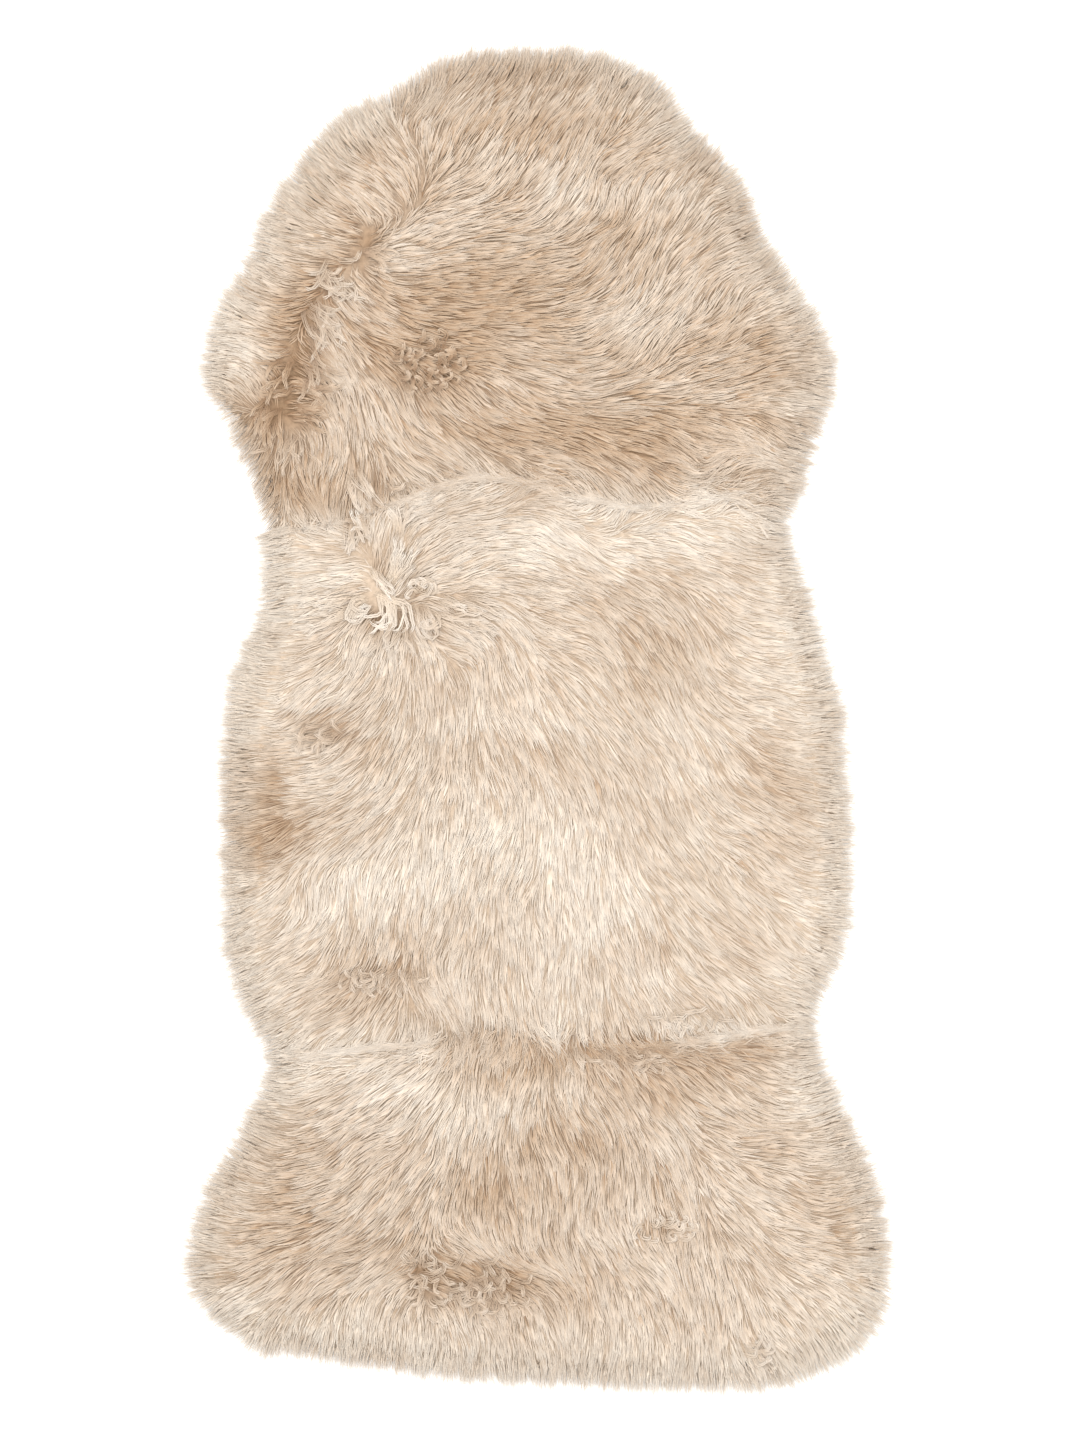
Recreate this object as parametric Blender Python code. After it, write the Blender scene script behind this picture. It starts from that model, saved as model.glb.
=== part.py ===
"""A sheepskin rug: three woolled pelts sewn end to end, lying flat on the floor.

Metres, +Z up, the floor at z = 0. +Y runs to the rug's head end and +X to its right, seen from above. The origin
is the middle of the rug's footprint.

Each pelt is two bodies: its hide, a flat sheet of suede, and its fleece, a lumpy slab of wool whose rim breaks up
into locks that droop past the hide's edge and lie on the floor.
"""

import math
import random
from collections import namedtuple

import bmesh
import bpy
from mathutils import Vector, kdtree, noise
from mathutils.geometry import delaunay_2d_cdt

MM = 0.001

# Driving sizes, in millimetres
HIDE_THICKNESS = 2.2
GAP = 0.36  # between bodies that meet
LOCK_LENGTH = 28.0  # how far the rim locks stand out from the slab
HIDE_MARGIN = 42.0  # from the tips of the rim locks in to the hide's edge
LOCK_WIDTH = 12.6  # at its root, which is also the step along the rim
PILE_TOP = 40.0  # the combed wool's height in the middle of a pelt
RIM_TOP = 17.0  # and at the slab's rim
SHOULDER = 62.0  # the width over which the pile rounds down to the rim
GRAIN_RISE = 3.4  # small lumps all over the pile
GRAIN_SPAN = 58.0
JOIN_DIP = 8.0  # the pile parts over a join
JOIN_WIDTH = 26.0
GRID_STEP = 22.0  # between the points that carry the pile's lumps
SHOULDER_RINGS = (11.0, 26.0, 46.0)  # rows of points inside the rim
RING_STEP = 18.0
JOIN_STEP = 16.5
CLEAR = 0.62  # points keep this share of a step apart
SLOPE_SPAN = 4  # points on each side that give a curve's direction

# A lock: how wide, how high and how far out it is at its bend, as shares of its root's width and its length
BEND_WIDTH = 0.6
BEND_TOP = 8.5
BEND_AT = 0.5
LOCK_SWAY = math.radians(9)
LOCK_VARIES = 0.18
SEED = 11

# The reach of the wool, to the tips of its locks, at sections from the head end to the tail end
Section = namedtuple("Section", "along left right")
SECTIONS = (
    Section(671, -71, 61),
    Section(656, -111, 101),
    Section(626, -157, 143),
    Section(591, -198, 163),
    Section(561, -226, 202),
    Section(521, -261, 217),
    Section(491, -281, 228),
    Section(461, -296, 251),
    Section(411, -326, 281),
    Section(366, -341, 296),
    Section(321, -336, 292),
    Section(271, -306, 277),
    Section(221, -289, 261),
    Section(194, -284, 251),
    Section(161, -282, 265),
    Section(101, -286, 283),
    Section(41, -308, 300),
    Section(-19, -318, 312),
    Section(-79, -321, 317),
    Section(-159, -319, 319),
    Section(-209, -322, 312),
    Section(-259, -312, 297),
    Section(-299, -298, 281),
    Section(-339, -275, 287),
    Section(-379, -287, 307),
    Section(-429, -313, 330),
    Section(-479, -342, 349),
    Section(-529, -358, 356),
    Section(-579, -356, 357),
    Section(-614, -317, 339),
    Section(-636, -275, 309),
    Section(-658, -139, 273),
    Section(-672, 61, 216),
)

# Where one pelt is sewn to the next, from the left edge to the right
Stitch = namedtuple("Stitch", "across along")
HEAD_JOIN = (
    Stitch(-284, 191),
    Stitch(-189, 201),
    Stitch(-87, 241),
    Stitch(-29, 241),
    Stitch(101, 212),
    Stitch(161, 226),
    Stitch(251, 196),
)
TAIL_JOIN = (
    Stitch(-274, -339),
    Stitch(-99, -317),
    Stitch(-49, -311),
    Stitch(31, -314),
    Stitch(61, -324),
    Stitch(141, -319),
    Stitch(281, -299),
)

# Broad swells of the pile: middle, half-widths and rise
Swell = namedtuple("Swell", "across along half_width half_length rise")
SWELLS = (
    Swell(-288, 352, 45, 58, 7),
    Swell(20, 530, 190, 90, 4),
    Swell(180, 340, 110, 120, 4),
    Swell(-60, 390, 110, 90, 3),
    Swell(60, 80, 200, 90, 3),
    Swell(210, -90, 90, 130, 4),
    Swell(-60, -150, 190, 100, 3),
    Swell(-290, -560, 70, 80, 5),
    Swell(290, -540, 80, 110, 5),
    Swell(40, -470, 160, 90, 3),
)

# Valleys where the wool parts, along straight runs
Parting = namedtuple("Parting", "across along to_across to_along width depth")
PARTINGS = (
    Parting(-249, 451, -224, 330, 24, 9),
    Parting(-224, 330, -219, 221, 24, 9),
    Parting(-306, 396, -249, 396, 10, 6),
    Parting(-272, 241, -250, 241, 20, 8),
    Parting(-152, 150, -120, 80, 26, 7),
    Parting(-276, -69, -264, -154, 22, 8),
    Parting(-269, -439, -199, -539, 22, 6),
    Parting(-80, -560, -10, -560, 28, 5),
)

HIDE_COLOUR = (0.72, 0.62, 0.48)
WOOL_COLOURS = {
    "head": (0.66, 0.52, 0.37),
    "middle": (0.72, 0.59, 0.44),
    "tail": (0.69, 0.55, 0.41),
}
PELTS = tuple(WOOL_COLOURS)


def clear_scene():
    for obj in list(bpy.data.objects):
        bpy.data.objects.remove(obj)


def matt(name, colour, roughness):
    material = bpy.data.materials.new(name)
    material.use_nodes = True
    shader = material.node_tree.nodes["Principled BSDF"]
    shader.inputs["Base Color"].default_value = (*colour, 1.0)
    shader.inputs["Roughness"].default_value = roughness
    shader.inputs["Metallic"].default_value = 0.0
    return material


def smooth_curve(points, closed, steps=10):
    """A Catmull-Rom curve through points."""
    count = len(points)
    spans = count if closed else count - 1
    curve = []
    for span in range(spans):
        before, start, end, after = (
            points[(span + k) % count if closed else min(max(span + k, 0), count - 1)]
            for k in (-1, 0, 1, 2)
        )
        for step in range(steps):
            t = step / steps
            pull = (end - before) * t
            bend = (before * 2 - start * 5 + end * 4 - after) * t**2
            twist = (start * 3 - before - end * 3 + after) * t**3
            curve.append((start * 2 + pull + bend + twist) / 2)
    return curve if closed else [*curve, points[-1]]


def even_steps(curve, step, closed):
    """Points along a curve, one about every step."""
    ring = [*curve, curve[0]] if closed else curve
    lengths = [(b - a).length for a, b in zip(ring, ring[1:])]
    total = sum(lengths)
    count = round(total / step)
    found = []
    span, passed = 0, 0.0
    for index in range(count if closed else count + 1):
        wanted = min(total * index / count, total - 1e-9)
        while passed + lengths[span] < wanted:
            passed += lengths[span]
            span += 1
        share = (wanted - passed) / lengths[span]
        found.append(ring[span].lerp(ring[span + 1], share))
    return found


def outline():
    """The wool's reach as a closed curve, clockwise seen from above."""
    right = [Vector((row.right, row.along)) for row in SECTIONS]
    left = [Vector((row.left, row.along)) for row in reversed(SECTIONS)]
    return smooth_curve(right + left, closed=True)


def drawn_in(curve, inset):
    """A clockwise closed curve moved inwards by inset."""
    count = len(curve)
    ring = []
    for index, point in enumerate(curve):
        along = curve[(index + SLOPE_SPAN) % count] - curve[index - SLOPE_SPAN]
        inwards = Vector((along.y, -along.x)).normalized()
        ring.append(point + inwards * inset)
    return ring


def rim_curve():
    """The slab's rim, where the locks are rooted."""
    return drawn_in(outline(), LOCK_LENGTH)


def join_points(stitches, rim, step):
    """The rim points where a join ends, and the points between them along the join."""
    ends = [Vector(stitches[0]), Vector(stitches[-1])]
    at_rim = [
        min(range(len(rim)), key=lambda i: (rim[i] - end).length_squared)
        for end in ends
    ]
    first, last = (rim[i] for i in at_rim)
    curve = smooth_curve([Vector(s) for s in stitches], closed=False)
    between = [p for p in even_steps(curve, step, closed=False) if first.x < p.x < last.x]
    clear = step * CLEAR
    kept = [p for p in between if min((p - first).length, (p - last).length) > clear]
    return at_rim, kept


def near_tree(points):
    tree = kdtree.KDTree(len(points))
    for index, point in enumerate(points):
        tree.insert((point.x, point.y, 0), index)
    tree.balance()
    return tree


def distance_to(tree, point):
    return tree.find((point.x, point.y, 0))[2]


def inside(point, ring):
    """True if a point is inside a closed ring."""
    crossings = 0
    for a, b in zip(ring, [*ring[1:], ring[0]]):
        if (a.y > point.y) != (b.y > point.y):
            crossings += point.x < a.x + (point.y - a.y) * (b.x - a.x) / (b.y - a.y)
    return crossings % 2 == 1


def grid_points(ring, step):
    """Points in staggered rows all over the box of a ring."""
    low_x, high_x = min(p.x for p in ring), max(p.x for p in ring)
    low_y, high_y = min(p.y for p in ring), max(p.y for p in ring)
    row_step = step * math.sqrt(3) / 2
    points = []
    for row in range(int((high_y - low_y) / row_step) + 1):
        start = low_x + (row % 2) * step / 2
        for column in range(int((high_x - low_x) / step) + 1):
            points.append(Vector((start + column * step, low_y + row * row_step)))
    return points


def plan_points(rim, joins):
    """Points inside the rim that carry the pile's lumps, clear of the rim and the joins."""
    taken = [*rim, *(p for _, between in joins for p in between)]
    found = []
    for inset in SHOULDER_RINGS:
        row = even_steps(drawn_in(rim_curve(), inset), RING_STEP, closed=True)
        near = near_tree(taken)
        clear = min(inset, RING_STEP) * CLEAR
        kept = [p for p in row if distance_to(near, p) > clear]
        found += kept
        taken += kept
    near = near_tree(taken)
    grid = [p for p in grid_points(rim, GRID_STEP) if inside(p, rim)]
    return found + [p for p in grid if distance_to(near, p) > GRID_STEP * CLEAR]


def plan_of(rim, joins, inner):
    """The whole rug's plan as points and triangles, with the joins as edges of it."""
    points = list(rim)
    edges = [(i, (i + 1) % len(rim)) for i in range(len(rim))]
    for (first, last), between in joins:
        start = len(points)
        points += between
        line = [first, *range(start, len(points)), last]
        edges += list(zip(line, line[1:]))
    points += inner
    found = delaunay_2d_cdt(points, edges, [], 1, 1e-6)
    return found[0], found[2]


def height_at_join(stitches, across):
    """Where a join lies along the rug, at a place across it."""
    curve = smooth_curve([Vector(s) for s in stitches], closed=False)
    for a, b in zip(curve, curve[1:]):
        if a.x <= across <= b.x:
            return a.y + (b.y - a.y) * (across - a.x) / (b.x - a.x)
    return curve[0].y if across < curve[0].x else curve[-1].y


def pelt_of(triangle, points):
    """Which pelt a triangle of the plan belongs to."""
    middle = sum((points[i] for i in triangle), Vector((0, 0))) / 3
    if middle.y > height_at_join(HEAD_JOIN, middle.x):
        return "head"
    return "middle" if middle.y > height_at_join(TAIL_JOIN, middle.x) else "tail"


def along_run(point, start, end):
    """How far a point is from a straight run."""
    run = end - start
    share = min(max((point - start).dot(run) / run.length_squared, 0), 1)
    return (point - start - run * share).length


def lumps(point):
    """The pile's swells, partings and small lumps at a point."""
    rise = GRAIN_RISE * noise.noise(Vector((point.x, point.y, SEED * GRAIN_SPAN)) / GRAIN_SPAN)
    for swell in SWELLS:
        x = (point.x - swell.across) / swell.half_width
        y = (point.y - swell.along) / swell.half_length
        rise += swell.rise * math.exp(-(x * x) - y * y)
    for parting in PARTINGS:
        start = Vector((parting.across, parting.along))
        end = Vector((parting.to_across, parting.to_along))
        away = along_run(point, start, end) / parting.width
        rise -= parting.depth * math.exp(-away * away)
    return rise


def pile_height(rim_tree, join_tree):
    """A function that gives the top of the pile at a point."""

    def height(point):
        inwards = min(distance_to(rim_tree, point) / SHOULDER, 1)
        shoulder = math.sqrt(1 - (1 - inwards) ** 2)
        away = distance_to(join_tree, point) / JOIN_WIDTH
        dip = JOIN_DIP * math.exp(-away * away)
        return RIM_TOP + shoulder * (PILE_TOP - RIM_TOP + lumps(point) - dip)

    return height


def slab(points, triangles, sides, top, bottom):
    """A closed slab over one pelt's triangles. sides says which way each join point moves to leave the gap."""
    bm = bmesh.new()
    used = sorted({i for triangle in triangles for i in triangle})
    vertex = {}
    for i in used:
        x, y = points[i]
        z = top(Vector((x, y)))
        vertex[i] = bm.verts.new((x * MM, (y + sides.get(i, 0) * GAP / 2) * MM, z * MM))
    for triangle in triangles:
        bm.faces.new([vertex[i] for i in triangle])
    bmesh.ops.recalc_face_normals(bm, faces=bm.faces)
    border = [edge for edge in bm.edges if edge.is_boundary]
    walls = bmesh.ops.extrude_edge_only(bm, edges=border)["geom"]
    for item in walls:
        if isinstance(item, bmesh.types.BMVert):
            item.co.z = bottom * MM
    low = [edge for edge in bm.edges if edge.is_boundary]
    bmesh.ops.edgeloop_fill(bm, edges=low)
    bmesh.ops.recalc_face_normals(bm, faces=bm.faces)
    return bm


def rim_walls(bm, rim):
    """The side faces of a slab that lie on the rim, and so not on a join, in their order along the rim."""
    places = near_tree([p * MM for p in rim])
    found = []
    for face in bm.faces:
        upright = len(face.verts) == 4 and abs(face.normal.z) < 0.05
        if upright and all(distance_to(places, v.co) < GAP * MM for v in face.verts):
            numbers = sorted(places.find((v.co.x, v.co.y, 0))[1] for v in face.verts)
            found.append((numbers, face))
    return [face for _, face in sorted(found, key=lambda item: item[0])]


def grow_lock(bm, wall, chance):
    """Draws one wall face out into a lock that bends down to the floor and tapers to its tip."""
    sway = chance.uniform(-LOCK_SWAY, LOCK_SWAY)
    length = LOCK_LENGTH * MM * chance.uniform(1 - LOCK_VARIES, 1 + LOCK_VARIES / 2)
    turn = math.cos(sway), math.sin(sway)
    out = Vector(
        (
            wall.normal.x * turn[0] - wall.normal.y * turn[1],
            wall.normal.x * turn[1] + wall.normal.y * turn[0],
            0,
        )
    ).normalized()
    root = wall.calc_center_median()
    cap = bmesh.ops.extrude_discrete_faces(bm, faces=[wall])["faces"][0]
    for v in cap.verts:
        aside = (v.co - root) * BEND_WIDTH
        high = aside.z > 0
        v.co = root + aside + out * length * BEND_AT
        v.co.z = BEND_TOP * MM if high else 0
    tip = bmesh.ops.extrude_discrete_faces(bm, faces=[cap])["faces"][0]
    end = root + out * length
    end.z = 0
    bmesh.ops.pointmerge(bm, verts=list(tip.verts), merge_co=end)


def add_body(name, bm, material):
    mesh = bpy.data.meshes.new(name)
    bm.to_mesh(mesh)
    bm.free()
    mesh.materials.append(material)
    obj = bpy.data.objects.new(name, mesh)
    bpy.context.collection.objects.link(obj)
    return obj


def join_sides(joins, pelt):
    """For one pelt, the way that the points of each join move: 1 towards the head end, -1 towards the tail end."""
    moves = {"head": (1, 0), "middle": (-1, 1), "tail": (0, -1)}[pelt]
    sides = {}
    for line, move in zip(joins, moves):
        if move:
            sides.update(dict.fromkeys(line, move))
    return sides


def lay_out(rim, step, lumpy):
    """The plan's points and triangles for a rim, and the point numbers along each join."""
    joins = [join_points(stitches, rim, step) for stitches in (HEAD_JOIN, TAIL_JOIN)]
    inner = plan_points(rim, joins) if lumpy else []
    points, triangles = plan_of(rim, joins, inner)
    lines, start = [], len(rim)
    for (first, last), between in joins:
        lines.append([first, *range(start, start + len(between)), last])
        start += len(between)
    return points, triangles, lines


def add_hides(suede):
    rim = even_steps(drawn_in(outline(), HIDE_MARGIN), GRID_STEP, closed=True)
    points, triangles, lines = lay_out(rim, GRID_STEP, lumpy=False)
    for pelt in PELTS:
        own = [t for t in triangles if pelt_of(t, points) == pelt]
        sheet = slab(points, own, join_sides(lines, pelt), lambda point: HIDE_THICKNESS, 0)
        add_body(f"hide_{pelt}", sheet, suede(pelt))


def add_fleeces(wool):
    rim = even_steps(rim_curve(), LOCK_WIDTH, closed=True)
    points, triangles, lines = lay_out(rim, JOIN_STEP, lumpy=True)
    join_tree = near_tree([Vector(points[i]) for line in lines for i in line])
    height = pile_height(near_tree(even_steps(rim_curve(), 2, closed=True)), join_tree)
    chance = random.Random(SEED)
    for pelt in PELTS:
        own = [t for t in triangles if pelt_of(t, points) == pelt]
        bm = slab(points, own, join_sides(lines, pelt), height, HIDE_THICKNESS + GAP)
        for wall in rim_walls(bm, rim):
            grow_lock(bm, wall, chance)
        bmesh.ops.recalc_face_normals(bm, faces=bm.faces)
        fleece = add_body(f"fleece_{pelt}", bm, wool(pelt))
        fleece.data.shade_smooth()
        fleece.data.set_sharp_from_angle(angle=math.radians(50))


def centre_footprint():
    """Moves every mesh so that the footprint's middle is the origin."""
    corners = [v.co for obj in bpy.data.objects for v in obj.data.vertices]
    low = [min(c[k] for c in corners) for k in (0, 1)]
    high = [max(c[k] for c in corners) for k in (0, 1)]
    shift = Vector(((low[0] + high[0]) / -2, (low[1] + high[1]) / -2, 0))
    for obj in bpy.data.objects:
        for v in obj.data.vertices:
            v.co += shift
    print("footprint moved by", [round(s * 1000, 3) for s in shift], "mm")


def build():
    clear_scene()
    add_hides(lambda pelt: matt(f"suede_{pelt}", HIDE_COLOUR, 0.9))
    add_fleeces(lambda pelt: matt(f"wool_{pelt}", WOOL_COLOURS[pelt], 0.95))
    centre_footprint()


build()
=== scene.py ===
# %% [markdown]
# # A long sheepskin rug, dressed cell by cell
#
# The rug is three woolled pelts sewn end to end. Its solids are already made and packed: three flat hides
# and three lumpy fleeces. They never move here. This lesson gives them their looks: a napped suede
# underside with its sewn seams, and wool that is combed, parted and curled as on the real rug.
#
# Wool could be a hair system, but hair isn't a mesh, so it would be missing from a model that leaves
# Blender. It could be a bump on the lumpy slab, but then its outline would be hard and its locks flat. So
# each small bunch of fibres is a thin closed tube, pointed at both ends, and numpy bends tens of thousands
# of them at once.

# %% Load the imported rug
import math
from collections import namedtuple

import bmesh
import bpy
import numpy as np
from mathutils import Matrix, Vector
from mathutils.bvhtree import BVHTree
from mathutils.kdtree import KDTree


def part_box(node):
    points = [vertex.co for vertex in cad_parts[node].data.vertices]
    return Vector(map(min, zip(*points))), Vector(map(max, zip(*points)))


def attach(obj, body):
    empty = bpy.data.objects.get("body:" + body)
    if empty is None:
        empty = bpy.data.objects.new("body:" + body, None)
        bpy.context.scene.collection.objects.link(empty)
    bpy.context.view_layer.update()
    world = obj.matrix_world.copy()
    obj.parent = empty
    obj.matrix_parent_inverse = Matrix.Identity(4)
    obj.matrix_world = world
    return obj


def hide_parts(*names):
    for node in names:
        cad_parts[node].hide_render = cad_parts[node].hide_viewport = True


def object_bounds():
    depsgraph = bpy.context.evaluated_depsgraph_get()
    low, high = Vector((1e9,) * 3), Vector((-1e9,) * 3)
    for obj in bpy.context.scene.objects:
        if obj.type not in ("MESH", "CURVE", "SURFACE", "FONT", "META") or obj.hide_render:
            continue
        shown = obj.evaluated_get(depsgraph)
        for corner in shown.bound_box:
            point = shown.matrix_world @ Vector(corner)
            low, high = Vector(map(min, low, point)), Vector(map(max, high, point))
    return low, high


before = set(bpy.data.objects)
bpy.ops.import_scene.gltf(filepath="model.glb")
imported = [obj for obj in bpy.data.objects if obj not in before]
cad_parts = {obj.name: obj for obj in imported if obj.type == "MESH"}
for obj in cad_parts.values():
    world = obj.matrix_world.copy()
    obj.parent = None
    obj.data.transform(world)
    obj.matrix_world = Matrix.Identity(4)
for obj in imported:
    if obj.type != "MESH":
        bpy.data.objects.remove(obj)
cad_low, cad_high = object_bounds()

MM = 0.001
PELTS = ("head", "middle", "tail")
print("rug", [round(x, 3) for x in cad_high - cad_low], "nodes", sorted(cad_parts))

# %% [markdown]
# ## The floor
#
# The rug lies on a plain pale floor. Every finish in this lesson is a Principled shader, so one helper
# makes a new material and hands back its node tree and its shader, and another sets the shader's plain
# values by name.

# %% The floor
FLOOR_SIZE = 7.0
FLOOR_DROP = 0.0004  # keeps the floor's face clear of the hides' undersides
FLOOR_WHITE = (0.9, 0.9, 0.895, 1)


def principled(name):
    """A new material, its node tree and its Principled shader."""
    material = bpy.data.materials.new(name)
    material.use_nodes = True
    tree = material.node_tree
    return material, tree, tree.nodes["Principled BSDF"]


def set_plain(shader, **values):
    for name, value in values.items():
        shader.inputs[name.replace("_", " ")].default_value = value


def add_floor():
    bpy.ops.mesh.primitive_plane_add(size=FLOOR_SIZE, location=(0, 0, -FLOOR_DROP))
    floor = bpy.context.object
    floor.name = "floor"
    material, _, shader = principled("floor_white")
    set_plain(shader, Base_Color=FLOOR_WHITE, Roughness=0.85)
    floor.data.materials.append(material)


bpy.ops.object.select_all(action="DESELECT")
add_floor()
print("floor", FLOOR_SIZE, "m across")

# %% [markdown]
# ## The camera
#
# The rug is looked at from straight above. The camera's sensor is 36 mm along the frame's long side, so its
# height above the wool follows from the lens and from how much floor the frame holds. A long lens is used,
# because the edges of a flat thing would lean away in a short one.

# %% The camera
FRAME_HEIGHT = 1.440  # of floor and wool in the frame, in metres
LENS = 85.0
SENSOR = 36.0
WOOL_LEVEL = 0.035
VIEW_CENTRE = (0.0021, 0.0018)  # the rug lies a little left of the frame's middle


def add_camera():
    distance = FRAME_HEIGHT * LENS / SENSOR
    bpy.ops.object.camera_add(location=(*VIEW_CENTRE, WOOL_LEVEL + distance), rotation=(0, 0, 0))
    camera = bpy.context.object
    camera.name = "camera_above"
    camera.data.lens = LENS
    camera.data.sensor_width = SENSOR
    camera.data.sensor_fit = "AUTO"
    bpy.context.scene.camera = camera
    print("camera", round(distance, 3), "m above the wool")


add_camera()

# %% [markdown]
# ## The light
#
# Wool shows its locks in very soft light, and small lamps would draw hard shadows between the strands. So a
# pale sky lights the rug nearly evenly, and of two wide softboxes the one beyond its left shoulder is a
# little stronger, which gives every lock a faint shadow on one side.

# %% Softboxes and sky
Softbox = namedtuple("Softbox", "name place size watts")
SOFTBOXES = (
    Softbox("key", (-1.3, 1.5, 3.8), 2.6, 130),
    Softbox("fill", (1.5, -1.1, 3.8), 2.8, 95),
)
SKY = (1.0, 0.98, 0.955)
SKY_STRENGTH = 1.03


def light_studio():
    scene = bpy.context.scene
    scene.view_settings.view_transform = "Standard"
    scene.world = bpy.data.worlds.new("studio")
    scene.world.use_nodes = True
    sky = scene.world.node_tree.nodes["Background"].inputs
    sky["Color"].default_value = (*SKY, 1)
    sky["Strength"].default_value = SKY_STRENGTH
    for box in SOFTBOXES:
        bpy.ops.object.light_add(type="AREA", location=box.place)
        lamp = bpy.context.object
        lamp.name = f"softbox_{box.name}"
        lamp.data.size = box.size
        lamp.data.energy = box.watts
        lamp.rotation_euler = Vector(box.place).to_track_quat("Z", "Y").to_euler()


light_studio()
print("softboxes", [box.name for box in SOFTBOXES], "and a sky of strength", SKY_STRENGTH)

# %% [markdown]
# ## A plan of the rug
#
# Everything about the wool changes from place to place: its height, the way it is combed, its colour. So
# each of these is a field, an array with a number for each cell of a fine grid over the rug's plan.

# %% A grid over the plan
CELL = 3.0  # mm
PLAN_MARGIN = 54.0  # mm past the rug on each side


def plan_grid():
    low = np.array(cad_low[:2]) / MM - PLAN_MARGIN
    high = np.array(cad_high[:2]) / MM + PLAN_MARGIN
    count = np.ceil((high - low) / CELL).astype(int) + 1
    xs = low[0] + CELL * np.arange(count[0])
    ys = low[1] + CELL * np.arange(count[1])
    return low, np.meshgrid(xs, ys)


PLAN_LOW, (PLAN_X, PLAN_Y) = plan_grid()
print("plan of", PLAN_X.shape, "cells")

# %% [markdown]
# ## Reading the fleeces
#
# How high the wool stands, and whose pelt it is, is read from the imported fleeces. A ray falls on each cell,
# as a groomer would let a gauge down on the pile, and the highest fleece that it meets gives both.

# %% Rays on the fleeces
RIM_TOP = 16.9  # mm, just under the slab's height at its rim
RAY_START = 100.0  # mm over the floor
NO_PELT = -1


def read_fleeces():
    """The height in mm and the pelt's number that rays meet, cell by cell."""
    height = np.zeros(PLAN_X.shape)
    pelt = np.full(PLAN_X.shape, NO_PELT)
    for number, name in enumerate(PELTS):
        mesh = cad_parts[f"fleece_{name}"].data
        tree = BVHTree.FromPolygons([v.co for v in mesh.vertices], [p.vertices for p in mesh.polygons])
        low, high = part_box(f"fleece_{name}")
        rows = (PLAN_Y > low.y / MM - CELL) & (PLAN_Y < high.y / MM + CELL)
        for y, x in zip(*np.nonzero(rows)):
            start = Vector((PLAN_X[y, x], PLAN_Y[y, x], RAY_START)) * MM
            hit = tree.ray_cast(start, Vector((0, 0, -1)))[0]
            if hit is not None and hit.z / MM > height[y, x]:
                height[y, x] = hit.z / MM
                pelt[y, x] = number
    return height, pelt


hit_height, hit_pelt = read_fleeces()
on_slab = hit_height > RIM_TOP
print("slab covers", round(on_slab.sum() * (CELL * MM) ** 2, 3), "square metres")

# %% [markdown]
# ## How far in from the rim
#
# Near the rim the wool is thinner and paler and turns outwards, so one field holds how far in from the
# slab's rim each cell is, less than 0 past it. A search tree of the rim's cells finds the nearest one
# quickly. The wool at the rim isn't equally long all round: listed soft ovals add to the field
# where it is longer.

# %% Distance from the rim
TABLE_MIDDLE = (1.13, 0.82)  # mm, from the tables' middle to the model's own
OVAL_FADE = 0.9  # how fast an oval fades past its own border
LONGER = (  # across, along, half width, half length, mm more
    (-218, 600, 70, 80, 20), (-275, 520, 40, 45, 9), (-100, 665, 60, 40, 8), (10, 684, 60, 40, 9),
    (110, 665, 40, 40, 5), (-329, 422, 30, 30, 7), (307, 352, 30, 60, 9), (274, 222, 25, 25, 6),
    (-312, 52, 30, 40, 6), (314, 22, 30, 25, 5), (319, -218, 30, 40, 6), (335, -638, 40, 30, 10),
    (120, -680, 120, 30, 4), (-322, -60, 30, 180, 5), (-75, -672, 60, 30, 6), (225, -672, 60, 30, 6),
    (300, -650, 30, 30, 6), (-290, -640, 30, 30, 9),
)


def search_tree(places):
    """A tree that finds the nearest of some places in the plan."""
    tree = KDTree(len(places))
    for index, (x, y) in enumerate(places):
        tree.insert((x, y, 0), index)
    tree.balance()
    return tree


def distance_from(cells):
    """How far each cell is from the nearest of some cells, and which of them it is."""
    tree = search_tree(np.stack([PLAN_X[cells], PLAN_Y[cells]], -1))
    found = [tree.find((x, y, 0)) for x, y in zip(PLAN_X.ravel(), PLAN_Y.ravel())]
    away = np.array([f[2] for f in found]).reshape(PLAN_X.shape)
    which = np.array([f[1] for f in found]).reshape(PLAN_X.shape)
    ys, xs = np.nonzero(cells)
    return away, (ys[which], xs[which])


def blurred(field, passes):
    """Each pass is the mean of a cell and its eight neighbours."""
    for _ in range(passes):
        padded = np.pad(field, 1, mode="edge")
        field = sum(padded[1 + i : padded.shape[0] - 1 + i, 1 + j : padded.shape[1] - 1 + j]
                    for i in (-1, 0, 1) for j in (-1, 0, 1)) / 9
    return field


def from_oval(row, x, y):
    """How far places lie from the middle of a table row's oval, squared, its own border being 1."""
    across, along, half_width, half_length = row[:4]
    off_x = (x - across - TABLE_MIDDLE[0]) / half_width
    off_y = (y - along - TABLE_MIDDLE[1]) / half_length
    return off_x**2 + off_y**2


neighbours = [np.roll(on_slab, step, axis) for axis in (0, 1) for step in (1, -1)]
slab_edge = on_slab & ~np.all(neighbours, axis=0)
from_rim, nearest_rim = distance_from(slab_edge)
FURTHER = sum(row[4] * np.exp(-OVAL_FADE * from_oval(row, PLAN_X, PLAN_Y)) for row in LONGER)
INWARDS = blurred(np.where(on_slab, from_rim, -from_rim), passes=2) + FURTHER
print("the deepest cell is", round(INWARDS.max()), "mm in from the rim")

# %% [markdown]
# ## The pile's height
#
# Past the slab only loose locks are left, and they droop to the floor in a curve. So the height follows the
# slab inside the rim and that curve outside it, and every cell out there belongs to the pelt whose rim is
# nearest. The way outwards is the slope of the distance field, turned round.

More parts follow.
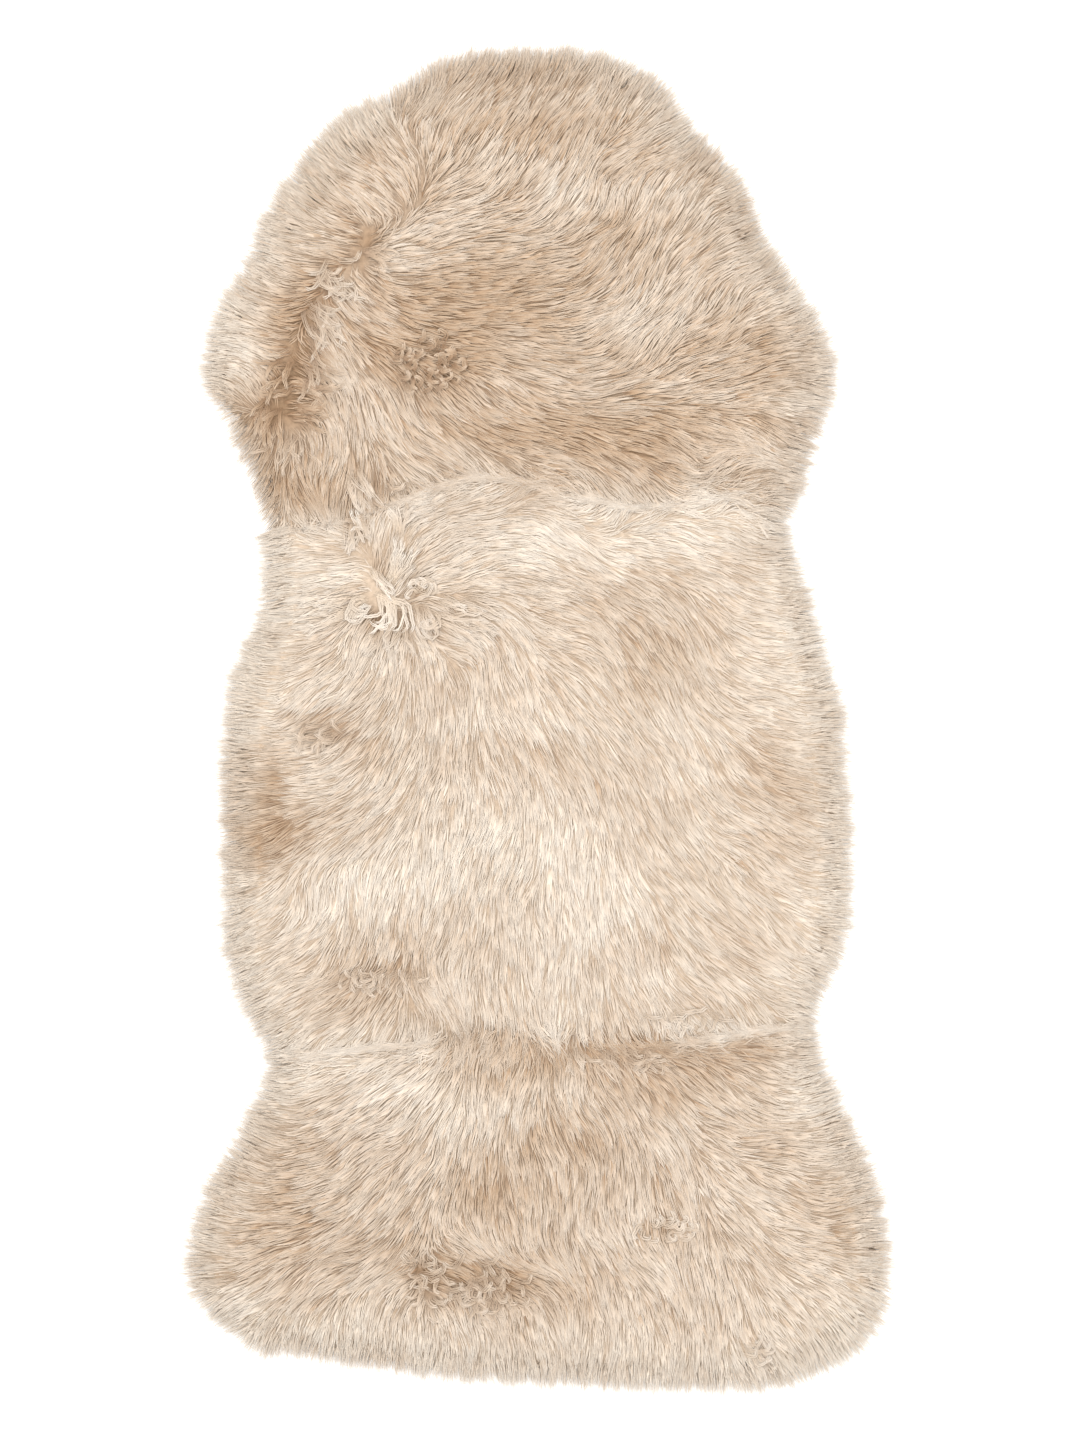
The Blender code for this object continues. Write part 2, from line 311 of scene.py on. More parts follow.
# %% Pile, pelts and the way outwards
REACH = 31.0  # mm, from the slab's rim to where the locks meet the floor
DROOP_BEND = 1.6  # above 1, they leave the rim level and droop late
DROOP_LEAST = 0.8  # mm, how low the wool's top gets past its tips

PELT = np.where(on_slab, hit_pelt, hit_pelt[nearest_rim])
past = np.clip(-INWARDS / REACH, 0, 1)
droop = np.maximum(RIM_TOP * (1 - past**DROOP_BEND), DROOP_LEAST)
PILE = blurred(np.where(on_slab, hit_height, droop), passes=3)
slope_y, slope_x = np.gradient(-blurred(INWARDS, passes=3), CELL)
OUTWARDS = np.arctan2(slope_y, slope_x)
print("pile up to", round(PILE.max(), 1), "mm")

# %% [markdown]
# ## How the wool is combed
#
# On the rug the wool grows from the parting on each pelt and is brushed towards the rim, with whorls where
# a leg was. A groomer would note it down as marks on a plan: where, and which way the wool lies. Each pelt
# has such a list, in mm from the rug's middle and degrees, 0 being to the right and 90 towards the head.
# Between the marks the heading is the mean of the near ones, so that a fan or whorl needs only a few of
# them, and it never mixes two pelts' wool.

# %% Comb marks
COMBED = {
    "head": (
        (-200, 595, 120), (-160, 600, 115), (-145, 570, 120), (-150, 540, 125), (-175, 545, 140),
        (-160, 515, 130), (-220, 540, 122), (-235, 510, 152), (-205, 500, 168), (-250, 500, 165),
        (-200, 478, 176), (-270, 480, 155), (-290, 440, 160), (-250, 445, 158), (-320, 400, 180),
        (-320, 378, 170), (-290, 360, 147), (-300, 335, 118), (-280, 320, 112), (-250, 420, 180),
        (-270, 395, 165), (-310, 290, 220), (-290, 290, 248), (-268, 278, 270), (-290, 230, 315),
        (-260, 222, 315), (-240, 208, 325), (-240, 240, 300), (-225, 278, 275), (-230, 252, 258),
        (-240, 312, 0), (-220, 350, -30), (-200, 310, -60), (-190, 272, -98), (-200, 240, -108),
        (-180, 240, -90), (-170, 420, -35), (-185, 425, -60), (-212, 385, -58), (-170, 350, -50),
        (-175, 315, -70), (-150, 300, -75), (-130, 310, -65), (-130, 272, -50), (-110, 290, -38),
        (-110, 260, -22), (-90, 300, -30), (-60, 330, -35), (-40, 300, -25), (-10, 310, -22),
        (-50, 352, -15), (-150, 400, -15), (-100, 402, -5), (-20, 400, -3), (-60, 440, 0), (-130, 450, 5),
        (-150, 475, 12), (-80, 460, 10), (-20, 470, 8), (-100, 485, 22), (-30, 500, 15), (-70, 525, 20),
        (-130, 625, 12), (-100, 640, 24), (-60, 650, 28), (-30, 640, 35), (-10, 620, 50), (-90, 610, 45),
        (-60, 600, 56), (-80, 588, 70), (-50, 560, 60), (-40, 538, 50), (30, 650, 36), (75, 640, 62),
        (120, 622, 50), (40, 620, 52), (60, 600, 64), (110, 592, 42), (170, 590, 58), (90, 570, 30),
        (120, 570, 16), (30, 565, 70), (80, 548, 45), (60, 528, 90), (85, 520, 92), (110, 508, 62),
        (30, 522, 60), (150, 540, 50), (185, 535, 32), (205, 500, 22), (150, 500, 50), (30, 498, 36),
        (60, 490, 38), (95, 484, 54), (70, 468, 50), (150, 462, 50), (180, 470, 40), (210, 460, 30),
        (10, 468, 10), (60, 440, 46), (240, 438, 35), (180, 422, 54), (150, 430, 54), (100, 430, 68),
        (20, 432, 12), (260, 410, 30), (45, 406, 18), (100, 400, 40), (170, 388, 36), (10, 388, 0),
        (60, 380, 25), (230, 380, 18), (285, 370, 10), (110, 368, 44), (200, 360, 15), (15, 350, -2),
        (60, 350, 12), (110, 332, 20), (200, 330, 12), (280, 320, 5), (10, 310, -10), (60, 310, -2),
        (30, 288, -14), (100, 300, 0), (150, 298, -5), (200, 290, -15), (230, 280, -28), (270, 290, -5),
        (280, 260, 0), (120, 280, -15), (150, 268, -26), (20, 270, -20), (60, 252, -28), (100, 240, -36),
        (10, 230, -6), (180, 250, 35), (210, 240, 26),
    ),
    "middle": (
        (75, 208, 40), (110, 235, 42), (120, 228, 10), (150, 228, -2), (180, 220, 5), (240, 225, -5),
        (230, 208, -42), (60, 194, -14), (100, 194, -8), (150, 190, -15), (205, 186, -40), (20, 180, -28),
        (50, 168, -30), (110, 170, -25), (180, 170, -16), (220, 168, -22), (30, 150, -24), (150, 140, -25),
        (200, 144, -34), (235, 138, -20), (20, 120, -12), (100, 120, -40), (165, 110, -48), (190, 120, -32),
        (220, 110, -16), (255, 118, -3), (30, 90, -20), (70, 80, -48), (110, 80, -58), (150, 70, -60),
        (170, 82, -54), (200, 90, -36), (230, 75, -6), (280, 50, 0), (20, 40, -48), (80, 40, -58),
        (150, 32, -64), (180, 42, -40), (230, 20, -10), (285, 22, -4), (-280, 190, 180), (-225, 186, 195),
        (-200, 150, 180), (-250, 150, 195), (-285, 138, 200), (-220, 112, 200), (-260, 110, 210),
        (-280, 70, 190), (-235, 82, 205), (-290, 38, 180), (-210, 50, 212), (-180, 60, 248),
        (-230, 20, 225), (-185, 28, 230), (-150, 55, 264), (-100, 55, 278), (-50, 52, 276), (-20, 30, 284),
        (-110, 20, 264), (-30, 80, -60), (-50, 92, -36), (-75, 102, -30), (-85, 72, -5), (-50, 130, -15),
        (-80, 150, 10), (-50, 170, 5), (-90, 170, 30), (-115, 160, 42), (-130, 160, 60), (-142, 180, 74),
        (-20, 180, -8), (-130, 222, 2), (-80, 236, 8), (-40, 216, 10), (-280, -20, 180), (-290, -60, 180),
        (-235, -28, 192), (-190, -42, 232), (-155, -40, 250), (-220, -66, 196), (-235, -95, 190),
        (-200, -100, 206), (-165, -84, 220), (-160, -110, 225), (-200, -122, 208), (-250, -122, 200),
        (-300, -110, 188), (-290, -150, 185), (-262, -176, 212), (-300, -192, 224), (-232, -182, 272),
        (-190, -170, 262), (-140, -170, 262), (-110, -70, 254), (-70, -50, 274), (-25, -60, 282),
        (-60, -110, 260), (-100, -130, 256), (-30, -170, 264), (-80, -190, 262), (-268, -230, 206),
        (-225, -212, 226), (-255, -275, 204), (-280, -295, 194), (-215, -270, 212), (-200, -230, 248),
        (-140, -225, 264), (-165, -282, 238), (-200, -312, 196), (-90, -225, 264), (-30, -225, 264),
        (-60, -265, 272), (-110, -260, 300), (20, -20, -62), (50, -50, -63), (15, -85, -80), (70, -80, -62),
        (110, -80, -65), (40, -130, -80), (90, -130, -68), (50, -180, -82), (100, -170, -68),
        (145, -50, -58), (180, -48, -48), (200, -30, -36), (245, -34, -18), (285, -10, -5), (270, -66, -18),
        (210, -84, -30), (200, -120, -36), (260, -112, -24), (180, -140, -41), (150, -155, -48),
        (300, -120, -10), (235, -160, -35), (300, -195, -12), (190, -205, -42), (150, -215, -50),
        (255, -218, -34), (105, -225, -72), (30, -235, -90), (200, -245, -35), (280, -256, -14),
        (55, -272, -80), (110, -270, -60), (165, -272, -44), (240, -286, -28), (110, -300, -66),
        (200, -300, -42), (260, -308, -32),
    ),
    "tail": (
        (-20, -345, 262), (30, -332, -75), (60, -325, -22), (130, -336, -28), (210, -334, -22),
        (260, -332, -8), (-280, -350, 180), (-250, -372, 198), (-190, -370, 206), (-145, -364, 216),
        (-110, -382, 238), (-60, -380, 262), (-30, -382, 255), (-240, -408, 192), (-165, -420, 212),
        (-120, -430, 236), (-90, -424, 254), (-50, -430, 264), (-290, -440, 175), (-230, -450, 195),
        (-310, -480, 174), (-180, -458, 216), (-130, -470, 236), (-90, -470, 258), (-40, -470, 268),
        (-335, -495, 208), (-270, -492, 182), (-220, -488, 195), (-170, -502, 226), (-130, -508, 243),
        (-320, -545, 190), (-250, -522, 198), (-200, -528, 202), (-150, -532, 215), (-330, -580, 200),
        (-285, -580, 204), (-240, -568, 222), (-200, -560, 218), (-180, -592, 252), (-140, -580, 230),
        (-255, -615, 240), (-190, -620, 264), (-130, -610, 272), (-145, -558, 196), (-100, -562, -5),
        (-80, -530, -24), (-50, -550, -42), (-50, -582, -52), (-75, -594, -62), (-20, -572, -20),
        (-20, -602, -84), (-50, -642, 270), (-110, -650, 274), (-30, -505, 272), (30, -356, 260),
        (75, -360, -55), (130, -368, -42), (190, -370, -32), (235, -372, -14), (290, -382, 4),
        (250, -396, 0), (175, -400, -22), (125, -400, -52), (60, -400, -56), (40, -430, -77),
        (100, -430, -81), (135, -430, -64), (180, -430, -34), (225, -426, 4), (320, -430, 0),
        (195, -460, -48), (240, -468, -24), (300, -465, -3), (50, -470, -88), (100, -470, -88),
        (150, -485, -68), (195, -490, -52), (250, -490, -16), (325, -490, 2), (100, -505, -84),
        (155, -520, -72), (210, -522, -52), (255, -530, -24), (330, -530, -4), (65, -532, -60),
        (110, -542, -52), (180, -556, -68), (225, -556, -54), (275, -558, -38), (345, -570, -45),
        (80, -580, -92), (150, -590, -84), (210, -590, -70), (260, -590, -54), (315, -592, -38),
        (75, -620, -90), (165, -630, -86), (240, -626, -42), (290, -624, -38), (230, -652, -38),
        (130, -658, -88),
    ),
}
print("comb marks", {name: len(marks) for name, marks in COMBED.items()})

# %% [markdown]
# ## From marks to headings
#
# A mark counts the more, the nearer it is. At the rim the wool is pulled outwards, and everywhere it strays
# a little from its way, less so near the rim, where it hangs. A heading of pure chance in each cell would
# look like static, so the stray is cloudy: chance numbers on the knots of a coarse grid, with a smooth
# blend between them.

# %% The combed headings
COMB_BLUR = 9.0  # mm, marks nearer than this count alike
COMB_POWER = 1.9
RIM_PULL = 34.0  # mm, how far in from the rim the wool starts to turn towards it
RIM_PULL_MOST = 0.7  # of the way to straight outwards, past the rim
RIM_PULL_START = 0.5  # of the way, at the rim
STRAY = 13.0  # degrees
STRAY_SPAN = 44  # mm, the width of its clouds
FINE_STRAY = 11.0
FINE_STRAY_SPAN = 15
CALM_RIM = 45.0  # mm, the band inside the rim where the wool lies straighter
CALM_LEAST = 0.45  # of the stray is left at the rim


def cloudy(span, seed):
    """A smooth random field from -1 to 1, whose lumps are about span mm wide."""
    chance = np.random.default_rng(seed)
    x = (PLAN_X - PLAN_LOW[0]) / span
    y = (PLAN_Y - PLAN_LOW[1]) / span
    knots = chance.uniform(-1, 1, (int(y.max()) + 3, int(x.max()) + 3))
    i, j = x.astype(int), y.astype(int)
    u, v = x - i, y - j
    u, v = u * u * (3 - 2 * u), v * v * (3 - 2 * v)
    near = knots[j, i] * (1 - u) + knots[j, i + 1] * u
    far = knots[j + 1, i] * (1 - u) + knots[j + 1, i + 1] * u
    return near * (1 - v) + far * v


def marks_of(table):
    marks = np.array(table, float)
    marks[:, :2] += TABLE_MIDDLE
    return marks


def comb_fields():
    """The combed direction in each cell, across and along."""
    x = np.zeros(PLAN_X.shape)
    y = np.zeros(PLAN_X.shape)
    for number, name in enumerate(PELTS):
        cells = PELT == number
        for across, along, heading in marks_of(COMBED[name]):
            away = (PLAN_X[cells] - across) ** 2 + (PLAN_Y[cells] - along) ** 2
            weight = (away + COMB_BLUR**2) ** -COMB_POWER
            x[cells] += weight * math.cos(math.radians(heading))
            y[cells] += weight * math.sin(math.radians(heading))
    size = np.hypot(x, y)
    pull = np.clip((1 - INWARDS / RIM_PULL) * RIM_PULL_START, 0, RIM_PULL_MOST)
    x = x / size * (1 - pull) + np.cos(OUTWARDS) * pull
    y = y / size * (1 - pull) + np.sin(OUTWARDS) * pull
    calm = CALM_LEAST + (1 - CALM_LEAST) * np.clip(INWARDS / CALM_RIM, 0, 1)
    stray = STRAY * cloudy(STRAY_SPAN, seed=21) + FINE_STRAY * cloudy(FINE_STRAY_SPAN, seed=22)
    heading = np.arctan2(y, x) + np.radians(stray) * calm
    return np.cos(heading), np.sin(heading)


COMB_X, COMB_Y = comb_fields()
print("combed to the right in", round(100 * (COMB_X > 0).mean()), "% of the cells")

# %% [markdown]
# ## Its colours
#
# The wool is dyed a pale oat. Its tips have faded to cream, and it is tan near the skin, so a lock that
# stands up or a parting that opens shows as a tan patch, and so do the places where the dye took more. Some
# patches are painted shade and painted light instead: valleys, hollows and the grooves over the seams are
# darker, and a few lumps lighter, in place of the light and shade of the wool's relief. The plan of tone runs
# from -1, all cream, to 1, all tan. It is a sum of listed soft ovals, with some cloudiness over it.

# %% Tone patches
TONED = (  # across, along, half width, half length, tone
    # the head pelt's tan and painted shade: its top, the painted shade in the hollow and the valley at its
    # left, the painted long shadow over the seam
    (-30, 652, 85, 22, 0.95), (-135, 625, 18, 14, 0.9), (30, 590, 60, 18, 0.55), (-60, 590, 40, 15, 0.35),
    (-175, 575, 30, 25, 0.4), (80, 490, 35, 22, 0.7), (75, 545, 20, 12, 0.6), (165, 565, 15, 25, 0.8),
    (195, 525, 25, 18, 0.5), (110, 630, 30, 12, 0.35), (-170, 490, 22, 12, 0.6), (-180, 470, 14, 20, 0.45),
    (-250, 430, 14, 22, 0.85), (-262, 400, 20, 18, 0.7), (-250, 360, 22, 30, 1.1), (-262, 325, 26, 20, 1.0),
    (-240, 400, 10, 25, 0.7), (-60, 440, 100, 32, 0.6), (-105, 400, 50, 40, 0.65), (-100, 350, 45, 30, 0.8),
    (0, 400, 60, 60, 0.25), (-170, 370, 30, 20, 0.45), (-285, 305, 25, 10, 0.7), (-270, 252, 34, 20, 1.1),
    (-248, 224, 36, 17, 0.95), (-280, 280, 24, 18, 0.7), (-235, 310, 20, 15, 0.55),
    (-215, 330, 15, 20, 0.5), (-200, 215, 40, 12, 0.6), (70, 280, 60, 20, 0.85), (0, 280, 60, 15, 0.55),
    (110, 270, 40, 15, 0.6), (100, 300, 100, 15, 0.4), (-60, 290, 50, 25, 0.45), (60, 240, 40, 15, 0.45),
    (230, 295, 40, 15, 0.55), (235, 235, 20, 15, 0.6), (110, 235, 15, 12, 0.6), (-20, 230, 35, 20, 0.5),
    (80, 370, 30, 15, 0.5), (230, 360, 40, 20, 0.45), (160, 370, 25, 15, 0.3), (230, 390, 30, 10, 0.45),
    (-213, 528, 30, 25, 0.4), (-30, 520, 40, 20, 0.35), (-215, 394, 20, 25, 0.3), (-23, 394, 60, 30, 0.35),
    # its cream
    (30, 530, 40, 20, -0.6), (80, 520, 20, 20, -0.4), (-60, 520, 30, 20, -0.4), (-130, 460, 30, 15, -0.5),
    (-312, 380, 30, 34, -0.9), (150, 510, 30, 20, -0.3), (110, 400, 40, 25, -0.5), (130, 440, 25, 15, -0.3),
    (-30, 575, 30, 12, -0.4), (-290, 480, 30, 30, -0.2), (240, 430, 30, 20, -0.3),
    # the middle pelt's cream
    (-220, 130, 70, 40, -0.5), (60, 175, 90, 30, -0.6), (170, 210, 60, 20, -0.6), (170, 180, 40, 15, -0.5),
    (-60, 170, 40, 20, -0.4), (-250, 20, 40, 40, -0.3), (-30, -120, 120, 40, -0.5),
    (-150, -170, 90, 30, -0.6), (60, -190, 60, 40, -0.5), (150, -60, 40, 20, -0.3), (240, 60, 40, 40, -0.4),
    (280, -180, 30, 40, -0.3), (130, -270, 60, 20, -0.4), (180, -305, 40, 10, -0.5),
    (-23, -8, 90, 14, -0.4), (170, -8, 40, 16, -0.3), (-60, -90, 60, 20, -0.2), (-250, -190, 50, 22, -0.5),
    # its tan, with painted shade in the pockets round the whorl
    (-213, -8, 30, 16, 0.45), (167, -276, 50, 16, 0.45), (262, -142, 25, 40, 0.4),
    (-310, -100, 16, 60, 0.5), (60, 120, 50, 25, 0.35), (120, 80, 60, 40, 0.5), (100, 40, 40, 30, 0.4),
    (150, 140, 60, 10, 0.4), (-40, -40, 100, 18, 0.35), (90, -50, 40, 15, 0.4), (110, -120, 20, 40, 0.25),
    (250, -60, 50, 30, 0.5), (230, -220, 40, 20, 0.3), (110, -230, 40, 10, 0.45), (-272, -80, 16, 45, 1.2),
    (-284, -130, 34, 28, 0.9), (-230, -110, 40, 20, 0.45), (-225, 0, 30, 10, 0.6), (-175, -25, 10, 10, 0.5),
    (-300, -60, 20, 50, 0.35), (-140, -215, 60, 12, 0.45), (-150, -240, 60, 10, 0.4),
    (-190, -275, 50, 25, 0.6), (-120, -300, 60, 20, 0.5), (170, -290, 50, 10, 0.55),
    (200, -250, 30, 10, 0.35), (-190, 165, 40, 15, 0.4), (-155, 160, 8, 10, 0.7), (-130, 110, 12, 10, 0.5),
    (-165, 100, 10, 10, 0.6),
    # the tail pelt's tan
    (200, -335, 90, 22, 0.9), (110, -330, 40, 12, 0.7), (-20, -345, 60, 25, 0.7), (-50, -320, 40, 10, 0.5),
    (40, -340, 30, 12, 0.5), (120, -375, 60, 25, 0.55), (10, -430, 50, 20, 0.6), (60, -420, 60, 25, 0.4),
    (-60, -470, 30, 20, 0.6), (-40, -490, 60, 25, 0.4), (-280, -430, 40, 40, 0.4),
    (-260, -480, 25, 10, 0.6), (-265, -525, 40, 30, 0.6), (-230, -500, 20, 10, 0.5),
    (-180, -530, 30, 12, 0.45), (-265, -590, 6, 25, 0.6), (-100, -540, 60, 20, 0.35),
    (-40, -560, 60, 20, 0.55), (-120, -550, 12, 8, 0.7), (35, -580, 15, 20, 0.5), (230, -420, 50, 20, 0.4),
    (310, -520, 12, 35, 0.65), (310, -470, 30, 30, 0.3), (130, -480, 40, 15, 0.3), (-160, -638, 25, 8, 0.7),
    (30, -525, 20, 12, 0.4), (-320, -560, 20, 6, 0.5),
    # its cream
    (-60, -390, 60, 25, -0.6), (-150, -370, 60, 25, -0.5), (-205, -352, 80, 28, -0.5),
    (30, -380, 25, 15, -0.5), (130, -420, 30, 15, -0.3), (250, -350, 40, 20, -0.4),
    (300, -380, 30, 20, -0.4), (-300, -590, 40, 25, -0.5), (-150, -620, 90, 30, -0.4),
    (100, -640, 150, 30, -0.3), (200, -480, 30, 20, -0.2), (300, -590, 50, 40, -0.4),
)
print(len(TONED), "tone patches")

# %% [markdown]
# ## From patches to tone
#
# Three skins never take the dye alike, so each pelt starts from a tone of its own. The ovals' borders are
# bent by clouds, or they would read as ovals, and finer clouds lie over all. At the rim the wool is paler:
# its tips are faded, and the paleness is also painted light that lifts the shade where the rim droops.

# %% The plan of tone
PELT_TONES = (0.12, -0.25, -0.1)  # head, middle, tail
TONE_GAIN = 1.05
TONE_STRAY = 0.2
TONE_SPAN = 36  # mm, the width of its clouds
FINE_TONE_STRAY = 0.3
FINE_TONE_SPAN = 13
BORDER_STRAY = 9  # mm, how far an oval's border is bent
BORDER_SPAN = 26
RIM_FADED_AND_LIT = 0.45  # how much creamier the rim is: faded tips, and painted light where it droops
RIM_FADE_WIDTH = 34.0  # mm


def tone_field():
    tone = blurred(np.array(PELT_TONES)[PELT], passes=2)
    tone += TONE_STRAY * cloudy(TONE_SPAN, seed=31)
    tone += FINE_TONE_STRAY * cloudy(FINE_TONE_SPAN, seed=32)
    tone -= RIM_FADED_AND_LIT * np.clip(1 - INWARDS / RIM_FADE_WIDTH, 0, 1)
    bent_x = PLAN_X + BORDER_STRAY * cloudy(BORDER_SPAN, seed=33)
    bent_y = PLAN_Y + BORDER_STRAY * cloudy(BORDER_SPAN, seed=34)
    for row in TONED:
        tone += TONE_GAIN * row[4] * np.exp(-OVAL_FADE * from_oval(row, bent_x, bent_y))
    return np.clip(tone, -1, 1)


TONE = tone_field()
print("tone from", round(TONE.min(), 2), "to", round(TONE.max(), 2))

# %% [markdown]
# ## A strand of wool
#
# Each strand stands for a few dozen fibres that cling together: a closed tube of three sides, pointed at
# the root and at the tip. One, two or more rings between the points are enough to bend it. A curve object
# with a bevel would give the same shape for one strand, but tens of thousands of them are quicker as
# arrays: all strands have the same faces, so one strand's list of corners is repeated with a growing
# offset.
#
# Every strand also gets its own cell on the UV map, root to tip, so fine streaks can follow it.

# %% One strand's faces and their places on the map
SIDES = 3


def strand_corners(rings):
    """One strand's faces as corners: its points are the root, the rings' and the tip."""
    tip = 1 + SIDES * rings
    faces = []
    for side in range(SIDES):
        here, there = 1 + side, 1 + (side + 1) % SIDES
        faces.append((0, here, there))
        for ring in range(rings - 1):
            step = SIDES * ring
            faces.append((here + step, here + step + SIDES, there + step + SIDES, there + step))
        last = SIDES * (rings - 1)
        faces.append((here + last, tip, there + last))
    return faces


def strand_map(rings, shares):
    """Where each corner of one strand lies in its cell, in the order of strand_corners."""
    places = []
    for side in range(SIDES):
        left, right, middle = side / SIDES, (side + 1) / SIDES, (side + 0.5) / SIDES
        places += [(middle, shares[0]), (left, shares[1]), (right, shares[1])]
        for ring in range(1, rings):
            low, high = shares[ring], shares[ring + 1]
            places += [(left, low), (left, high), (right, high), (right, low)]
        places += [(left, shares[rings]), (middle, shares[rings + 1]), (right, shares[rings])]
    return np.array(places)


print("a strand with two rings has", len(strand_corners(2)), "faces")

# %% [markdown]
# ## How it takes the light
#
# A strand's rings stand square to its way and are flat ovals. The fibres in it are too fine to see, so the
# light on it mustn't break at three edges as on a rod. Its normals turn only a little from one edge to the
# next, and they lean to straight up, because light gets through a slope of wool.

# %% Points and normals
SIDE_ANGLES = np.radians((90, 210, 330))  # one edge up, a flat side down
FLATNESS = 0.42  # its height for its width
ROUNDNESS = 0.36  # how far the light turns from one edge to the other
OPEN_TO_SKY = 0.5  # how far the normals lean to straight up
NOT_ZERO = 1e-9  # mm, so that no length divides by nothing

Bunch = namedtuple("Bunch", "spine half_width tone chance shares")  # spine is strand by point by axis, in mm


def strand_points(bunch):
    """All points of all strands and the normals there, a row of root, rings and tip for each."""
    spine = bunch.spine
    ahead = spine[:, 2:] - spine[:, :-2]
    ahead /= np.linalg.norm(ahead, axis=-1, keepdims=True) + NOT_ZERO
    across = np.stack([ahead[..., 1], -ahead[..., 0], np.zeros(ahead.shape[:2])], -1)
    across /= np.linalg.norm(across, axis=-1, keepdims=True) + NOT_ZERO
    upwards = np.cross(across, ahead)
    to_sky = upwards * (1 - OPEN_TO_SKY) + np.array((0, 0, OPEN_TO_SKY))
    across, upwards, to_sky = across[:, :, None], upwards[:, :, None], to_sky[:, :, None]
    cosine, sine = np.cos(SIDE_ANGLES)[:, None], np.sin(SIDE_ANGLES)[:, None]
    wide = bunch.half_width[:, 1:-1, None, None]
    ring = spine[:, 1:-1, None] + across * cosine * wide + upwards * sine * wide * FLATNESS
    lean = across * cosine * ROUNDNESS + to_sky
    lean /= np.linalg.norm(lean, axis=-1, keepdims=True)
    to_sky = to_sky / np.linalg.norm(to_sky, axis=-1, keepdims=True)
    count = len(spine)
    points = np.concatenate([spine[:, :1], ring.reshape(count, -1, 3), spine[:, -1:]], 1)
    normals = np.concatenate([to_sky[:, 0], lean.reshape(count, -1, 3), to_sky[:, -1]], 1)
    return points, normals


print("a strand is", FLATNESS, "as high as it is wide")

# %% [markdown]
# ## Many strands as one piece
#
# Adding vertices and faces one by one would take minutes, so the mesh is filled from arrays. Each strand
# carries three numbers for its material: how far along it a point is, its tone, and a chance number of its
# own. Seen from below, normals that lean up would turn a strand black, so strands that show there keep
# their own flat sides.

# %% Fill a mesh with strands
CELL_MARGIN = 0.06  # of a cell on the map, left empty on each side


def fill_mesh(mesh, points, faces, repeats):
    per_strand = points.shape[1]
    sizes = np.tile([len(f) for f in faces], repeats)
    corners = np.array([c for f in faces for c in f])
    corners = (corners[None] + per_strand * np.arange(repeats)[:, None]).ravel()
    mesh.vertices.add(points.shape[0] * per_strand)
    mesh.vertices.foreach_set("co", (points * MM).astype(np.float32).ravel())
    mesh.loops.add(len(corners))
    mesh.loops.foreach_set("vertex_index", corners.astype(np.int32))
    mesh.polygons.add(len(sizes))
    mesh.polygons.foreach_set("loop_start", np.concatenate([[0], np.cumsum(sizes)[:-1]]).astype(np.int32))
    mesh.update(calc_edges=True)


def add_number(mesh, name, values):
    mesh.attributes.new(name, "FLOAT", "POINT").data.foreach_set("value", values.astype(np.float32).ravel())


def add_piece(name, mesh):
    piece = bpy.data.objects.new(name, mesh)
    bpy.context.collection.objects.link(piece)
    return piece


def spin_strands(name, bunch, material, soft=True):
    """One piece of all the bunch's strands, lit softly from above or by their own flat sides."""
    rings = bunch.spine.shape[1] - 2
    count = len(bunch.spine)
    points, normals = strand_points(bunch)
    mesh = bpy.data.meshes.new(name)
    fill_mesh(mesh, points, strand_corners(rings), count)
    mesh.polygons.foreach_set("use_smooth", [soft] * len(mesh.polygons))
    if soft:
        lean = mesh.attributes.new("custom_normal", "FLOAT_VECTOR", "POINT")
        lean.data.foreach_set("vector", normals.astype(np.float32).ravel())
    along = np.concatenate([bunch.shares[:1], np.repeat(bunch.shares[1:-1], SIDES), bunch.shares[-1:]])
    add_number(mesh, "along", np.broadcast_to(along, points.shape[:2]))
    add_number(mesh, "tone", np.broadcast_to(bunch.tone[:, None], points.shape[:2]))
    add_number(mesh, "chance", np.broadcast_to(bunch.chance[:, None], points.shape[:2]))
    columns = math.ceil(math.sqrt(count))
    cells = np.stack([np.arange(count) % columns, np.arange(count) // columns], -1)
    places = strand_map(rings, bunch.shares) * (1 - 2 * CELL_MARGIN) + CELL_MARGIN
    corners = (places[None] + cells[:, None]) / columns
    mesh.uv_layers.new(name="OFBake").data.foreach_set("uv", corners.astype(np.float32).ravel())
    piece = add_piece(name, mesh)
    mesh.materials.append(material)
    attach(piece, "root")
    print(name, count, "strands,", count * SIDES * 2 * rings, "triangles")
    return piece

# %% [markdown]
# ## Nodes
#
# A material is a small tree of nodes. By hand they are placed and wired one by one, and the same few kinds
# come up again and again, so each kind has a helper that wires its inputs and hands back its output.

# %% Helpers for nodes
def link(tree, source, target):
    tree.links.new(source, target)


def number_node(tree, operation, *values):
    """A Math node on sockets or plain numbers."""
    node = tree.nodes.new("ShaderNodeMath")
    node.operation = operation
    for socket, value in zip(node.inputs, values):
        if isinstance(value, (int, float)):
            socket.default_value = value
        else:
            link(tree, value, socket)
    return node.outputs[0]


def attribute(tree, name):
    node = tree.nodes.new("ShaderNodeAttribute")
    node.attribute_name = name
    return node.outputs["Fac"]


def ramp(tree, factor, stops):
    node = tree.nodes.new("ShaderNodeValToRGB")
    elements = node.color_ramp.elements
    while len(elements) < len(stops):
        elements.new(0.5)
    for element, (place, colour) in zip(elements, stops):
        element.position = place
        element.color = (*colour, 1)
    link(tree, factor, node.inputs["Fac"])
    return node.outputs["Color"]


def mixed(tree, factor, a, b, blend="MIX"):
    node = tree.nodes.new("ShaderNodeMix")
    node.data_type = "RGBA"
    node.blend_type = blend
    sockets = [s for s in node.inputs if s.enabled]
    for socket, value in zip(sockets, (factor, a, b)):
        if isinstance(value, (int, float, tuple)):
            socket.default_value = value
        else:
            link(tree, value, socket)
    return [s for s in node.outputs if s.enabled][0]


